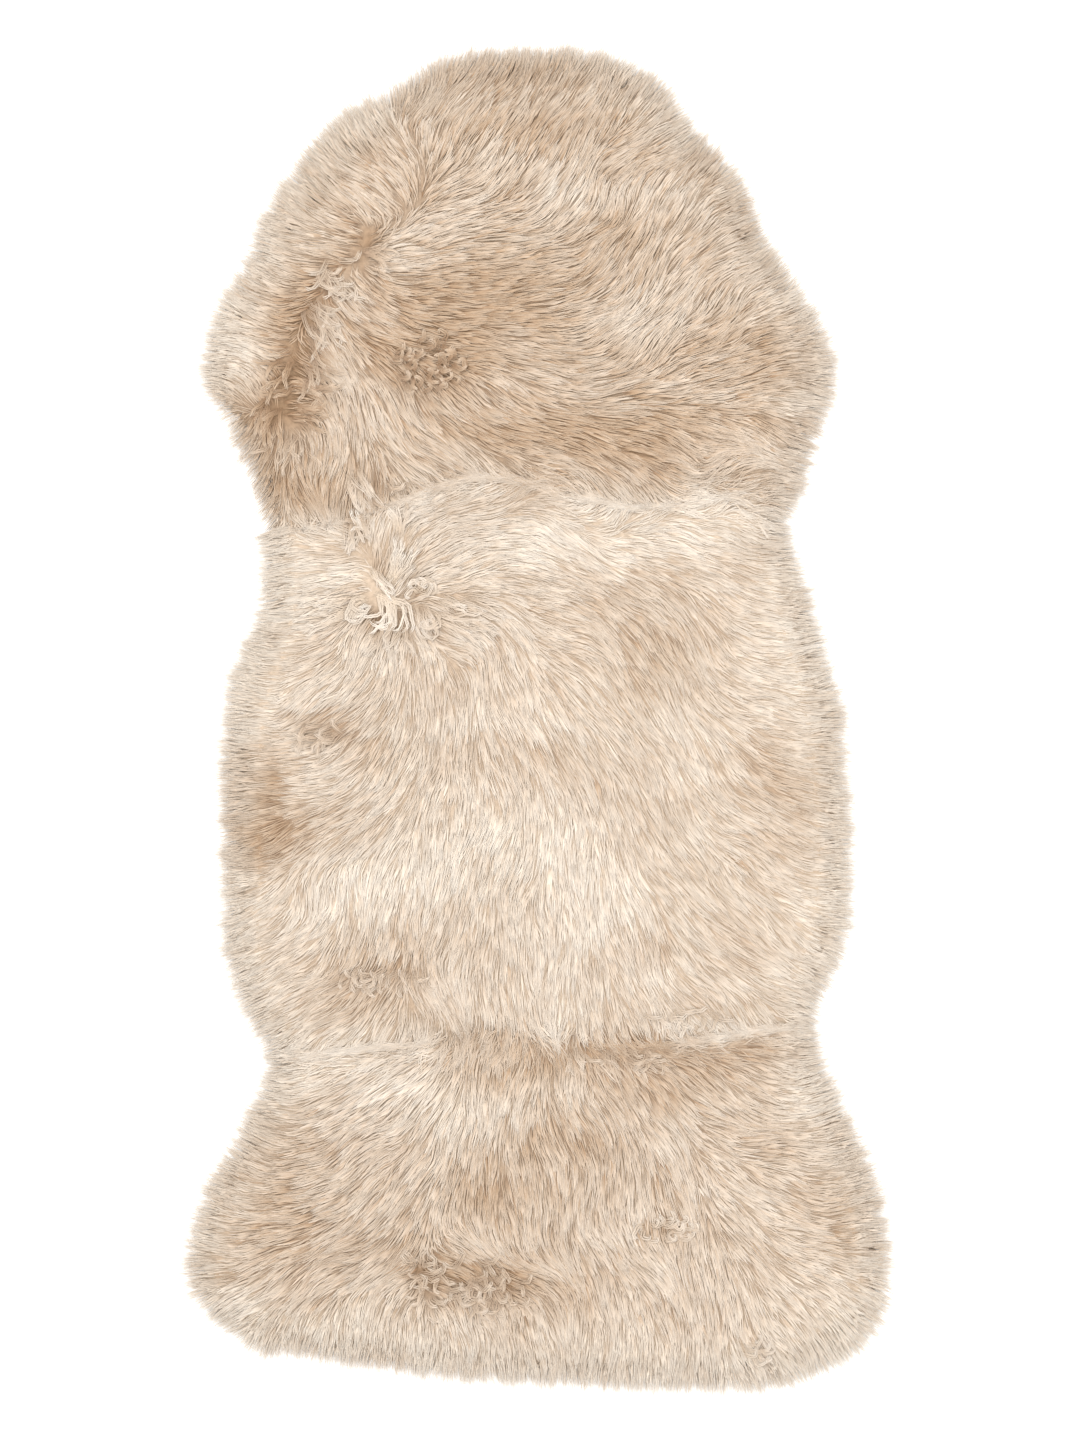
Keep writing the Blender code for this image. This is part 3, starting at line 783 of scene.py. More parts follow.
def noise(tree, vector, scale, detail=3.0):
    node = tree.nodes.new("ShaderNodeTexNoise")
    node.inputs["Scale"].default_value = scale
    node.inputs["Detail"].default_value = detail
    link(tree, vector, node.inputs["Vector"])
    return node.outputs["Fac"]


def tone_share(tree):
    """The plan's tone as a share of tan, from 0 to 1."""
    return number_node(tree, "MULTIPLY_ADD", attribute(tree, "tone"), 0.5, 0.5)


def swinging(tree, value, swing):
    """A shade round 1, from a number between 0 and 1: so much darker or lighter."""
    return number_node(tree, "MULTIPLY_ADD", value, 2 * swing, 1 - swing)


def shaded(tree, colour, shade):
    """A colour times a shade."""
    grey = tree.nodes.new("ShaderNodeCombineColor")
    for channel in grey.inputs:
        if channel.type == "VALUE":
            link(tree, shade, channel)
    return mixed(tree, 1.0, colour, grey.outputs["Color"], "MULTIPLY")


print("helpers for maths, attributes, ramps, mixes, noise and shades")

# %% [markdown]
# ## What wool looks like
#
# Wool fibres are slightly clear and scaly, so wool has a soft sheen and no sharp gloss. Its colour changes
# from root to tip, and the roots are painted darker still, as painted shade deep in the pile. Hair shaders
# are made for curves and don't leave Blender, so this is a plain rough shader: two colour ramps along the
# strand, one for cream wool and one for tan, mixed by the plan's tone, then streaked along the strand.

# %% The wool's material
# darker towards the root: tan near the skin, and painted shade deep in the pile
CREAM_ROOT_TO_TIP = ((0.0, (0.58, 0.465, 0.35)), (0.45, (0.61, 0.525, 0.435)), (0.8, (0.64, 0.575, 0.50)),
                     (1.0, (0.65, 0.595, 0.53)))
TAN_ROOT_TO_TIP = ((0.0, (0.18, 0.095, 0.045)), (0.45, (0.34, 0.228, 0.142)), (0.8, (0.46, 0.342, 0.243)),
                   (1.0, (0.52, 0.41, 0.312)))
STREAK_SCALE = (500.0, 60.0, 1.0)  # on the whole map: about five streaks on one strand's width
STREAK = 0.15  # how much lighter or darker they are
STRAND_TO_STRAND = 0.05


def wool_material(name):
    material, tree, shader = principled(name)
    along = attribute(tree, "along")
    cream = ramp(tree, along, CREAM_ROOT_TO_TIP)
    tan = ramp(tree, along, TAN_ROOT_TO_TIP)
    cell = tree.nodes.new("ShaderNodeUVMap")
    cell.uv_map = "OFBake"
    stretch = tree.nodes.new("ShaderNodeMapping")
    stretch.inputs["Scale"].default_value = STREAK_SCALE
    link(tree, cell.outputs["UV"], stretch.inputs["Vector"])
    streak = swinging(tree, noise(tree, stretch.outputs["Vector"], scale=1.0, detail=2.0), STREAK)
    strand = swinging(tree, attribute(tree, "chance"), STRAND_TO_STRAND)
    shade = number_node(tree, "MULTIPLY", streak, strand)
    colour = shaded(tree, mixed(tree, tone_share(tree), cream, tan), shade)
    link(tree, colour, shader.inputs["Base Color"])
    set_plain(shader, Roughness=0.75, Sheen_Weight=0.08, Sheen_Roughness=0.5, Specular_IOR_Level=0.25)
    return material


WOOL = {name: wool_material(f"wool_{name}") for name in PELTS}
print("wool materials", sorted(m.name for m in WOOL.values()))

# %% [markdown]
# ## Whorls and curls
#
# Where a leg was, and here and there along the partings, the wool was never combed straight: it stands up,
# waves and closes in ringlets. A groomer would tease these locks out one by one. So each row of this table
# is a handful of them: where they grow, how many, which way they set out, how much they turn on their way
# and how long they are. A lock's turn grows towards its tip, which is what makes a ringlet and not a ring.
# Where curls stand up, the wool under them lies open, so the last number sinks the combed wool there by
# some mm.

# %% Curled locks
PATCH_FIELDS = "across along half_width half_length locks heading fan turn length tone open"
CurlPatch = namedtuple("CurlPatch", PATCH_FIELDS)
CURL_TABLE = {
    "head": (
        # along the parting at the left, from its top to the hollow
        (-205, 452, 16, 14, 14, -75, 40, 150, 38, -0.2, 2),
        (-172, 466, 12, 10, 14, -12, 55, 60, 36, 0.2, 1),
        (-222, 412, 14, 20, 18, -66, 24, 80, 40, -0.3, 2),
        (-228, 355, 10, 30, 20, -40, 45, 70, 34, 0.1, 2),
        (-250, 345, 10, 26, 14, 215, 35, 60, 30, 0.5, 3),
        (-268, 312, 13, 13, 18, 240, 45, 50, 32, 0.4, 0),
        (-250, 282, 14, 10, 12, 262, 40, -60, 34, 0.2, 0),
        (-240, 312, 12, 12, 10, -20, 50, 60, 30, 0.3, 1),
        # the crinkled patch beside the middle, and the tuft that hangs over the seam
        (-112, 356, 38, 26, 46, -30, 90, 210, 19, 0.35, 5),
        (-180, 246, 14, 14, 14, -72, 16, 30, 36, -0.3, 1),
        (-150, 232, 26, 8, 10, -50, 40, 120, 26, 0.1, 2),
    ),
    "middle": (
        # the whorl: a fan above, loops that fall to the right, a ringlet at each side
        (-150, 138, 5, 6, 9, 62, 17, 15, 46, -0.5, 0),
        (-161, 128, 6, 6, 11, -30, 24, -190, 54, -0.5, 4),
        (-170, 122, 4, 4, 5, 175, 10, 400, 62, -0.5, 3),
        (-110, 108, 5, 5, 5, -60, 40, -380, 46, -0.2, 4),
        (-120, 131, 15, 4, 9, 60, 90, 320, 26, -0.3, 4),
        (-168, 152, 4, 3, 4, -50, 8, -10, 34, -0.6, 0),
        (-196, 118, 22, 18, 26, 195, 16, 20, 40, -0.3, 1.5),
        (-88, 110, 24, 22, 28, -18, 16, 20, 40, -0.2, 1.5),
        (-150, 94, 26, 8, 14, -105, 45, 60, 34, -0.1, 4),
        (-120, 112, 9, 8, 10, -82, 20, 20, 22, 0.1, 4),
        (-168, 188, 5, 3, 5, 160, 12, 130, 32, -0.5, 0),
        (-138, 182, 8, 5, 9, 80, 16, -70, 36, -0.3, 2),
        (-186, 206, 10, 7, 10, -80, 16, 25, 36, -0.1, 2),
        # the tufts at its left edge and over its lower seam
        (-212, -12, 24, 12, 18, 205, 45, 110, 26, 0.1, 2),
        (-150, -252, 50, 8, 28, 250, 60, 170, 24, 0.1, 2),
        (145, -292, 45, 6, 18, -60, 45, 70, 24, -0.2, 1),
    ),
    "tail": (
        (75, -330, 55, 8, 24, -75, 45, 90, 26, 0.1, 2),
        (125, -505, 26, 9, 20, -90, 80, 250, 22, -0.4, 2),
        (215, -630, 16, 9, 8, -60, 60, 200, 22, -0.2, 1),
        (-70, -562, 58, 26, 60, -60, 85, 160, 26, 0.1, 2.5),
        (-116, -549, 12, 10, 12, 20, 180, 90, 24, 0.0, 1),
    ),
}
CURLED = {name: [CurlPatch(*row) for row in rows] for name, rows in CURL_TABLE.items()}
print("curled locks", {name: sum(patch.locks for patch in CURLED[name]) for name in PELTS})

# %% [markdown]
# ## Where the combed wool lies
#
# The slab has a groove over each seam, because two fleeces part there. On the rug the wool of both pelts
# leans into that groove, so it is half closed here with a much blurred copy of the pile. Under the curls
# the wool lies lower.

# %% The laid pile
OPEN_FADE = 0.7  # how fast the opening fades past a patch's border
SEAM_WIDTH = 14.0  # mm
SEAM_REACH = 1.5  # of that width, how far to each side of a seam the wool is raised
SEAM_BLUR = 24


def opened_field():
    """How many mm the combed wool sinks under the curls."""
    opened = np.zeros(PLAN_X.shape)
    for patch in sum(CURLED.values(), []):
        opened = np.maximum(opened, patch.open * np.exp(-OPEN_FADE * from_oval(patch, PLAN_X, PLAN_Y) ** 2))
    return opened


def filled_over_seams():
    """The pile with its grooves over the seams half closed, and how near a seam each cell is, 1 on it."""
    seam = np.zeros(PLAN_X.shape, bool)
    for axis in (0, 1):
        seam |= (PELT != np.roll(PELT, 1, axis)) & on_slab
    nearness = np.clip(SEAM_REACH - distance_from(seam)[0] / SEAM_WIDTH, 0, 1) * (INWARDS > 0)
    return PILE + nearness * np.maximum(blurred(PILE, SEAM_BLUR) - PILE, 0), nearness


OPENED = opened_field()
FILLED, NEAR_SEAM = filled_over_seams()
LAID = FILLED - OPENED
print("the grooves are filled by up to", round((FILLED - PILE).max(), 1), "mm")
print("wool opens by up to", OPENED.max(), "mm under curls")

# %% [markdown]
# ## Locks along the combing
#
# Sheep's wool doesn't lie fibre by fibre. Fibres cling in locks, and locks lie over each other like
# shingles. So wool is planned lock by lock: a root on a jittered grid, and a path from it that follows the
# combing over the pile. A path that would end too far past the rim is cut short.

# %% Paths of locks
PATH_STEPS = 12
SHORTEST = 6  # mm


def at(field, places):
    """A field's value at places in mm, between its cells too."""
    spot = (places - PLAN_LOW) / CELL
    rows, columns = field.shape
    spot = np.clip(spot, 0, [columns - 1.001, rows - 1.001])
    corner = spot.astype(int)
    share = spot - corner
    x, y = corner[..., 0], corner[..., 1]
    u, v = share[..., 0], share[..., 1]
    near = field[y, x] * (1 - u) + field[y, x + 1] * u
    far = field[y + 1, x] * (1 - u) + field[y + 1, x + 1] * u
    return near * (1 - v) + far * v


def scattered(cells_wanted, spacing, chance):
    """Jittered grid points in mm where a field of cells is true."""
    low, high = PLAN_LOW, PLAN_LOW + CELL * (np.array(PLAN_X.shape[::-1]) - 1)
    xs = np.arange(low[0], high[0], spacing)
    ys = np.arange(low[1], high[1], spacing)
    spots = np.stack(np.meshgrid(xs, ys), -1).reshape(-1, 2)
    spots = spots + chance.uniform(0, spacing, spots.shape)
    return spots[at(cells_wanted.astype(float), spots) > 0.5]


def flow_paths(starts, lengths, turn):
    """Points along the combing from each start, PATH_STEPS and one of them."""
    path = [starts]
    stride = (lengths / PATH_STEPS)[:, None]
    for _ in range(PATH_STEPS):
        x, y = at(COMB_X, path[-1]), at(COMB_Y, path[-1])
        heading = np.arctan2(y, x) + turn
        path.append(path[-1] + stride * np.stack([np.cos(heading), np.sin(heading)], -1))
    return np.stack(path, 1)


def kept_in(starts, lengths, turn, reach):
    """Paths along the combing, cut short where they would end more than their reach past the slab's rim."""
    paths = flow_paths(starts, lengths, turn)
    too_far = np.clip(-at(INWARDS, paths[:, -1]) - reach, 0, None)
    return flow_paths(starts, np.maximum(lengths - too_far, SHORTEST), turn)


def along_paths(paths, shares):
    """Each path's points at some shares of its length, and its direction there."""
    spot = np.clip(np.asarray(shares) * PATH_STEPS, 0, PATH_STEPS - 1e-6)
    low = spot.astype(int)
    rows = np.arange(len(paths))[:, None]
    a, b = paths[rows, low], paths[rows, low + 1]
    step = b - a
    size = np.linalg.norm(step, axis=-1, keepdims=True) + NOT_ZERO
    return a + step * (spot - low)[..., None], step / size


def to_the_right(forward):
    """The directions in the plan that are square to others, on their right."""
    return np.stack([forward[..., 1], -forward[..., 0]], -1)


print("paths of", PATH_STEPS, "steps,", SHORTEST, "mm or longer")

# %% [markdown]
# ## The coat
#
# A lock is wide at the root and drawn together at its tip: a handful of strands share its path and gather
# towards its end. The root is deep in the pile and the tip lies just over it, which leaves a dark dash
# under each tip. Near the rim locks open into finer single strands.

# %% Grow a coat
LOCK_STRAY = 4.5  # degrees
SEAM_STRAY = 3.0  # how many times more that is over a seam, where two pelts' locks mingle
LENGTH_VARIES = (0.75, 1.25)  # of the coat's own length
STRAND_LENGTHS = (0.82, 1.0)  # of its lock's length
LATE_START = 0.16  # of its lock's length, the most that a strand starts up it
LOOSE_RIM = 40.0  # mm, the band inside the rim where locks open
RIM_GATHER = 0.25  # of the gathering is left at the rim
GATHER_BEND = 1.3  # above 1, a lock gathers late
RIM_FINE = 0.6  # of a strand's width is left at the rim
WAVES = 1.6  # on a lock's length
WAVES_VARY = (0.8, 1.3)
BEAT_STRAY = 0.3  # radians, between one lock's strands
PELT_DEPTHS = (0.9, 1.25, 1.0)  # of a coat's own depth, head to tail
DEPTH_VARIES = (0.8, 1.2)
ROOT_BEND = 1.7  # above 1, a lock leaves the deep soon
LOWEST = 0.5  # mm over the floor
CROWN = 0.8  # mm, how much higher the middle of a lock is than its sides
HEIGHT_STRAY = 0.3  # mm
WIDTH_VARIES = (0.7, 1.3)
LOCK_TO_LOCK = 0.13  # of tone
DARK_LOCKS = (0.14, 0.04, 0.08)  # the share of locks painted much darker, as painted shade of the gaps between locks, head to tail
DARK_BY = 0.65
POCKET_TAN_AND_SHADE = 0.3  # of tone, for each mm that the wool opens under curls: tan roots and painted shade in the pocket

COAT_FIELDS = "spacing strands length half_width depth lift spread gather wave shares profile reach"
Coat = namedtuple("Coat", COAT_FIELDS)


def grow(coat, pelt, cells_wanted, seed):
    """A bunch of strands in locks, on the cells of one pelt."""
    chance = np.random.default_rng(seed)
    roots = scattered(cells_wanted & (PELT == pelt), coat.spacing, chance)
    locks = len(roots)
    lengths = coat.length * chance.uniform(*LENGTH_VARIES, locks)
    stray = np.radians(chance.normal(0, LOCK_STRAY, locks))
    turn = stray * (1 + SEAM_STRAY * at(NEAR_SEAM, roots))
    paths = kept_in(roots, lengths, turn, chance.uniform(*coat.reach, locks))
    lock = np.repeat(np.arange(locks), coat.strands)
    count = len(lock)

    own = chance.uniform(*STRAND_LENGTHS, count)
    start = chance.uniform(0, LATE_START, count)
    shares = np.asarray(coat.shares)
    on_lock = np.clip(start[:, None] + shares * (own - start)[:, None], 0, 1)
    middle, forward = along_paths(paths[lock], on_lock)
    seat = chance.uniform(-1, 1, (count, 1))  # where it sits across the lock
    halfway = paths[:, PATH_STEPS // 2]
    far_in = np.clip(at(INWARDS, halfway) / LOOSE_RIM, 0, 1)[lock, None]
    opening = 1 - coat.gather * (RIM_GATHER + (1 - RIM_GATHER) * far_in) * on_lock**GATHER_BEND
    beat = chance.uniform(0, 2 * math.pi, locks)[lock, None] + chance.normal(0, BEAT_STRAY, (count, 1))
    pitch = chance.uniform(*WAVES_VARY, locks)[lock, None]
    wave = coat.wave * np.sin(beat + pitch * 2 * math.pi * on_lock * WAVES) * on_lock
    plan = middle + to_the_right(forward) * (seat * coat.spread * opening + wave)[..., None]

    pile = at(LAID, plan)
    deep = coat.depth * PELT_DEPTHS[pelt] * chance.uniform(*DEPTH_VARIES, locks)[lock, None]
    deep = np.minimum(deep * (1 - on_lock) ** ROOT_BEND, pile - LOWEST)
    crown = CROWN * (1 - seat**2) * np.sin(math.pi * on_lock)
    height = pile - deep + coat.lift * on_lock + crown + chance.normal(0, HEIGHT_STRAY, (count, 1))
    spine = np.concatenate([plan, np.maximum(height, LOWEST)[..., None]], -1)
    half_width = np.asarray(coat.profile) * coat.half_width * chance.uniform(*WIDTH_VARIES, (count, 1))
    half_width = half_width * (RIM_FINE + (1 - RIM_FINE) * far_in)
    dye_and_shade = LOCK_TO_LOCK * chance.normal(0, 1, locks)
    # some locks are painted much darker: painted shade of the gaps between locks
    dye_and_shade = dye_and_shade + DARK_BY * (chance.uniform(0, 1, locks) < DARK_LOCKS[pelt])
    # the pockets under curls get painted shade as well as their tan
    tone = at(TONE, paths[:, PATH_STEPS * 2 // 3]) + POCKET_TAN_AND_SHADE * at(OPENED, halfway) + dye_and_shade
    return Bunch(spine, half_width, np.clip(tone, -1, 1)[lock], chance.uniform(0, 1, count), shares)


print("locks are", LENGTH_VARIES[0], "to", LENGTH_VARIES[1], "of their coat's length")

# %% [markdown]
# ## Five coats
#
# A pelt's wool is dense below and loose on top. Wide soft strands close the bottom, the body and the outer
# coat give the locks, and a thin veil of single strands blurs them. Where the combing spreads from a
# parting, and over the seams, the long locks would leave the base bare, so short waved ones fill in.

# %% The coats
COATS = {
    "under": Coat(spacing=9.6, strands=3, length=32, half_width=1.2, depth=2.3, lift=-1.0, spread=4,
                  gather=0.2, wave=0.0, shares=(0, 0.5, 1), profile=(0, 1, 0), reach=(-1, 18)),
    "body": Coat(spacing=13.0, strands=4, length=42, half_width=0.56, depth=3.0, lift=0.1, spread=5.4,
                 gather=0.45, wave=0.7, shares=(0, 0.36, 0.72, 1), profile=(0, 1, 0.8, 0), reach=(-2, 21)),
    "outer": Coat(spacing=12.8, strands=8, length=44, half_width=0.4, depth=2.8, lift=0.7, spread=4.2,
                  gather=0.6, wave=0.8, shares=(0, 0.5, 1), profile=(0, 1, 0), reach=(5, 31)),
    "veil": Coat(spacing=5.2, strands=1, length=38, half_width=0.36, depth=2.2, lift=0.9, spread=0.5,
                 gather=0.2, wave=0.4, shares=(0, 0.5, 1), profile=(0, 1, 0), reach=(10, 34)),
    "parting": Coat(spacing=5.7, strands=2, length=24, half_width=0.6, depth=1.6, lift=0.2, spread=2.5,
                    gather=0.4, wave=1.4, shares=(0, 0.14, 0.6, 1), profile=(0, 1, 0.8, 0), reach=(-4, 8)),
}
COAT_OUTSIDE = 2  # mm, how far past the rim a lock may start
PARTING_LEAST = 0.022  # how fast the combing spreads, per mm, where extra short locks fill in
PARTING_NEAR = 0.85  # how near a seam they do so too

spreading = blurred(np.gradient(COMB_X, CELL, axis=1) + np.gradient(COMB_Y, CELL, axis=0), passes=2)
inside = INWARDS > -COAT_OUTSIDE
grown_on = {layer: inside for layer in COATS}
grown_on["parting"] = inside & ((spreading > PARTING_LEAST) | (NEAR_SEAM > PARTING_NEAR))

wool_pieces = {name: [] for name in PELTS}
for number, name in enumerate(PELTS):
    for order, (layer, coat) in enumerate(COATS.items()):
        bunch = grow(coat, number, grown_on[layer], seed=100 * number + order)
        wool_pieces[name].append(spin_strands(f"wool_{name}_{layer}", bunch, WOOL[name]))

# %% [markdown]
# ## Grow the curls
#
# A curled lock sets out on its own heading and not along the combing, and it turns more and more, with a
# crimp to each side. It leaves the pile in an arch and comes back to it. Loose waves need a few rings
# between their points, and ringlets nearly twice as many, or they would show corners.

# %% Curls
CurlStyle = namedtuple("CurlStyle", "strands spread half_width shares profile")
CURL_STYLES = {
    "waves": CurlStyle(5, 2.5, 0.36, (0, 0.2, 0.45, 0.68, 0.88, 1), (0, 0.9, 1, 1, 0.8, 0)),
    "ringlets": CurlStyle(4, 2.0, 0.4, (0, 0.1, 0.22, 0.34, 0.46, 0.58, 0.7, 0.82, 0.92, 1),
                          (0, 0.8, 1, 1, 1, 1, 0.95, 0.85, 0.7, 0)),
}
RINGLET_TURN = 180  # degrees, a lock that turns this much is a ringlet
TURN_VARIES = (0.6, 1.25)
TURN_BACK = 0.4  # the share of waves that turn the other way
TIGHTENING = 1.4  # above 1, the turn grows towards the tip
CURL_LENGTHS = (0.8, 1.2)  # of the patch's own length
CURL_STRANDS = (0.86, 1)  # of its lock's length
FIRST_STRIDE = 1.3  # of the mean stride, at the root
STRIDE_LOSS = 0.6  # how much less at the tip
CRIMP = 24.0  # degrees to each side of its way
CRIMPS = 2.3  # on a lock's length
SEAT_STRAY = 0.15
CURL_GATHER = 0.5
CURL_ROOT = 1.0  # mm, how deep a curl starts
CURL_RISE = (0.2, 3.0)  # mm over the pile, least and most
ARCH_START = 0.04  # where on a half wave its height starts
ARCH_SPAN = 0.8  # and how much of that wave it follows
CURL_CROWN = 0.5  # mm
CURL_STRAY = 0.35  # mm, up or down
CURL_WIDTHS = (0.8, 1.2)
CURL_TONE = 0.6  # of the plan's tone


def curl_paths(starts, heading, turn, lengths, beat):
    """Paths that set out on a heading and turn more and more, with a crimp to each side."""
    share = (np.arange(PATH_STEPS) + 0.5) / PATH_STEPS
    way = heading[:, None] + turn[:, None] * share**TIGHTENING
    way = way + math.radians(CRIMP) * np.sin(beat[:, None] + 2 * math.pi * CRIMPS * share)
    stride = lengths[:, None] / PATH_STEPS * (FIRST_STRIDE - STRIDE_LOSS * share)
    steps = np.stack([np.cos(way), np.sin(way)], -1) * stride[..., None]
    return np.concatenate([starts[:, None], starts[:, None] + np.cumsum(steps, 1)], 1)


def curl_bunch(patches, style, seed):
    """Locks of a few strands each, scattered over the ovals of some patches."""
    chance = np.random.default_rng(seed)
    table = np.array(patches, float)
    counts = table[:, CurlPatch._fields.index("locks")].astype(int)
    patch = CurlPatch(*np.repeat(table, counts, axis=0).T)
    locks = len(patch.across)
    around = chance.uniform(0, 2 * math.pi, locks)
    out = np.sqrt(chance.uniform(0, 1, locks))
    starts = np.stack([patch.across + patch.half_width * out * np.cos(around),
                       patch.along + patch.half_length * out * np.sin(around)], -1) + TABLE_MIDDLE
    heading = np.radians(patch.heading + patch.fan * chance.uniform(-1, 1, locks))
    back = (np.abs(patch.turn) < RINGLET_TURN) & (chance.uniform(0, 1, locks) < TURN_BACK)
    turn = np.radians(patch.turn * chance.uniform(*TURN_VARIES, locks)) * np.where(back, -1, 1)
    lengths = patch.length * chance.uniform(*CURL_LENGTHS, locks)
    paths = curl_paths(starts, heading, turn, lengths, chance.uniform(0, 2 * math.pi, locks))

    lock = np.repeat(np.arange(locks), style.strands)
    count = len(lock)
    shares = np.array(style.shares)
    on_lock = shares * chance.uniform(*CURL_STRANDS, (count, 1))
    middle, forward = along_paths(paths[lock], on_lock)
    seat = np.tile(np.linspace(-1, 1, style.strands), locks)[:, None]
    seat = seat + chance.normal(0, SEAT_STRAY, (count, 1))
    plan = middle + to_the_right(forward) * (seat * style.spread * (1 - CURL_GATHER * on_lock))[..., None]
    rise = chance.uniform(*CURL_RISE, locks)[lock, None]
    arch = np.sin(math.pi * (on_lock * ARCH_SPAN + ARCH_START))
    height = at(PILE, plan) - CURL_ROOT + (CURL_ROOT + rise) * arch + CURL_CROWN * (1 - seat**2)
    height = np.maximum(height + chance.normal(0, CURL_STRAY, (count, 1)), LOWEST)
    spine = np.concatenate([plan, height[..., None]], -1)
    half_width = np.array(style.profile) * style.half_width * chance.uniform(*CURL_WIDTHS, (count, 1))
    tone = np.clip(at(TONE, starts) * CURL_TONE + patch.tone, -1, 1)[lock]
    return Bunch(spine, half_width, tone, chance.uniform(0, 1, count), shares)


for number, name in enumerate(PELTS):
    for order, (kind, style) in enumerate(CURL_STYLES.items()):
        patches = [p for p in CURLED[name] if (abs(p.turn) >= RINGLET_TURN) == (kind == "ringlets")]
        bunch = curl_bunch(patches, style, seed=500 + 10 * order + number)
        wool_pieces[name].append(spin_strands(f"wool_{name}_{kind}", bunch, WOOL[name]))

# %% [markdown]
# ## The rim
#
# Past the edge of the hide only the wool is left, and it thins out to single hairs. These strands start
# inside the rim, at every height of the pile, and droop to the floor. The fringe is the lowest of them, and
# with the rim it is what the eye meets when the rug is turned over. So both keep their own flat sides,
# which look right from above and from below.

# %% Rim strands
Rim = namedtuple("Rim", "step levels crowding inside reach")
RIMS = {
    "rim": Rim(step=0.36, levels=(0.22, 1.0), crowding=1.0, inside=14.0, reach=(13.0, 41.0)),
    "fringe": Rim(step=0.9, levels=(0.03, 0.35), crowding=2.0, inside=18.0, reach=(8.0, 36.0)),
}  # step is mm between strands along the rim, on average; levels are shares of the pile; reach is mm past it
RIM_OUTSIDE = 4.0  # mm, how far out they may start
RIM_THINS = 1.25  # above 1, few of them reach far
RIM_SHARES = (0, 0.58, 1)
RIM_HALF_WIDTH = 0.29
RIM_STOUT = 1.7  # how many times that the shortest ones are, the longest being the least
RIM_SPREAD = 6.0  # degrees
RIM_LOWEST = 0.4  # mm over the floor
RIM_TONE = 0.6  # of the plan's tone
# the rim's strands are paler: faded tips, and painted light that lifts their shade where they droop
RIM_PALER = 0.5


def rim_bunch(rim, pelt, seed):
    """Single strands that start in a band along one pelt's rim."""
    chance = np.random.default_rng(seed)
    band = (INWARDS > -RIM_OUTSIDE) & (INWARDS - FURTHER < rim.inside) & (PELT == pelt)
    spots = np.argwhere(band)
    count = int(len(spots) * CELL**2 / rim.inside / rim.step)
    picked = spots[chance.integers(0, len(spots), count)][:, ::-1]
    roots = PLAN_LOW + CELL * (picked + chance.uniform(-0.5, 0.5, (count, 2)))
    least, most = rim.reach
    far = chance.uniform(0, 1, count) ** RIM_THINS
    turn = np.radians(chance.normal(0, RIM_SPREAD, count))
    lengths = most + np.clip(at(INWARDS, roots), 0, None)
    paths = kept_in(roots, lengths, turn, least + (most - least) * far)
    plan, _ = along_paths(paths, np.broadcast_to(RIM_SHARES, (count, len(RIM_SHARES))))
    low, high = rim.levels
    level = low + (high - low) * chance.uniform(0, 1, (count, 1)) ** rim.crowding
    height = np.maximum(at(PILE, plan) * level, RIM_LOWEST)
    spine = np.concatenate([plan, height[..., None]], -1)
    stout = chance.uniform(*WIDTH_VARIES, count) * (RIM_STOUT - far)
    half_width = RIM_HALF_WIDTH * np.array((0, 1, 0)) * stout[:, None]
    # paler strands: partly painted light on the drooping rim
    tone = np.clip(at(TONE, plan[:, 1]) * RIM_TONE - RIM_PALER, -1, 1)
    return Bunch(spine, half_width, tone, chance.uniform(0, 1, count), np.array(RIM_SHARES))


for number, name in enumerate(PELTS):
    for order, (kind, rim) in enumerate(RIMS.items()):
        bunch = rim_bunch(rim, number, seed=300 + 10 * order + number)
        wool_pieces[name].append(spin_strands(f"wool_{name}_{kind}", bunch, WOOL[name], soft=False))

# %% [markdown]
# ## Down in the pile
#
# Between the locks the eye falls on the dense wool near the skin. It could be more strands, but nobody
# would see their ends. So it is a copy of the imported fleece, sunk a few millimetres under the coat, in one
# colour by the plan's tone and mottled by its tufts.

# %% The down's material
DOWN_CREAM = (0.52, 0.42, 0.325)
DOWN_TAN = (0.27, 0.175, 0.105)
DOWN_TUFTS = 240.0  # tufts of down to a metre
DOWN_SHADE = 0.35


def down_material():
    """The short dense wool near the skin."""
    material, tree, shader = principled("wool_down")
    place = tree.nodes.new("ShaderNodeTexCoord").outputs["Object"]
    shade = swinging(tree, noise(tree, place, DOWN_TUFTS, detail=4.0), DOWN_SHADE)
    colour = mixed(tree, tone_share(tree), (*DOWN_CREAM, 1), (*DOWN_TAN, 1))
    link(tree, shaded(tree, colour, shade), shader.inputs["Base Color"])
    set_plain(shader, Roughness=0.9, Specular_IOR_Level=0.1)
    return material


DOWN = down_material()
print("down", DOWN_CREAM, "to", DOWN_TAN)

# %% [markdown]
# ## The base of the wool
#
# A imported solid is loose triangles, so its copy is merged first. Its top then sinks to a little under the
# laid wool, its border is drawn in under the rim's strands, and its underside is lifted off the floor to
# leave room for the fringe.

# %% Bases
MERGED = 0.00001  # metres, corners nearer than this are one
BASE_SUNK = {"head": 3.0, "middle": 2.1, "tail": 2.6}  # mm: the middle pelt's wool is the closest
BASE_LEAST = 0.3  # of the fleece's own height, how low it may sink
BASE_MOST = 1.15
BASE_RIM = 1.0  # mm past the slab's rim, where its locks start to be drawn in
BASE_DRAWN_IN = 0.65
BASE_OFF_FLOOR = 2.4  # mm


def copy_of(node, name):
    """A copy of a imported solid, its loose triangles merged."""
    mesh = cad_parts[node].data.copy()
    mesh.name = name
    mesh.materials.clear()
    piece = add_piece(name, mesh)
    shape = bmesh.new()
    shape.from_mesh(mesh)
    bmesh.ops.remove_doubles(shape, verts=shape.verts, dist=MERGED)
    shape.to_mesh(mesh)
    shape.free()
    return piece


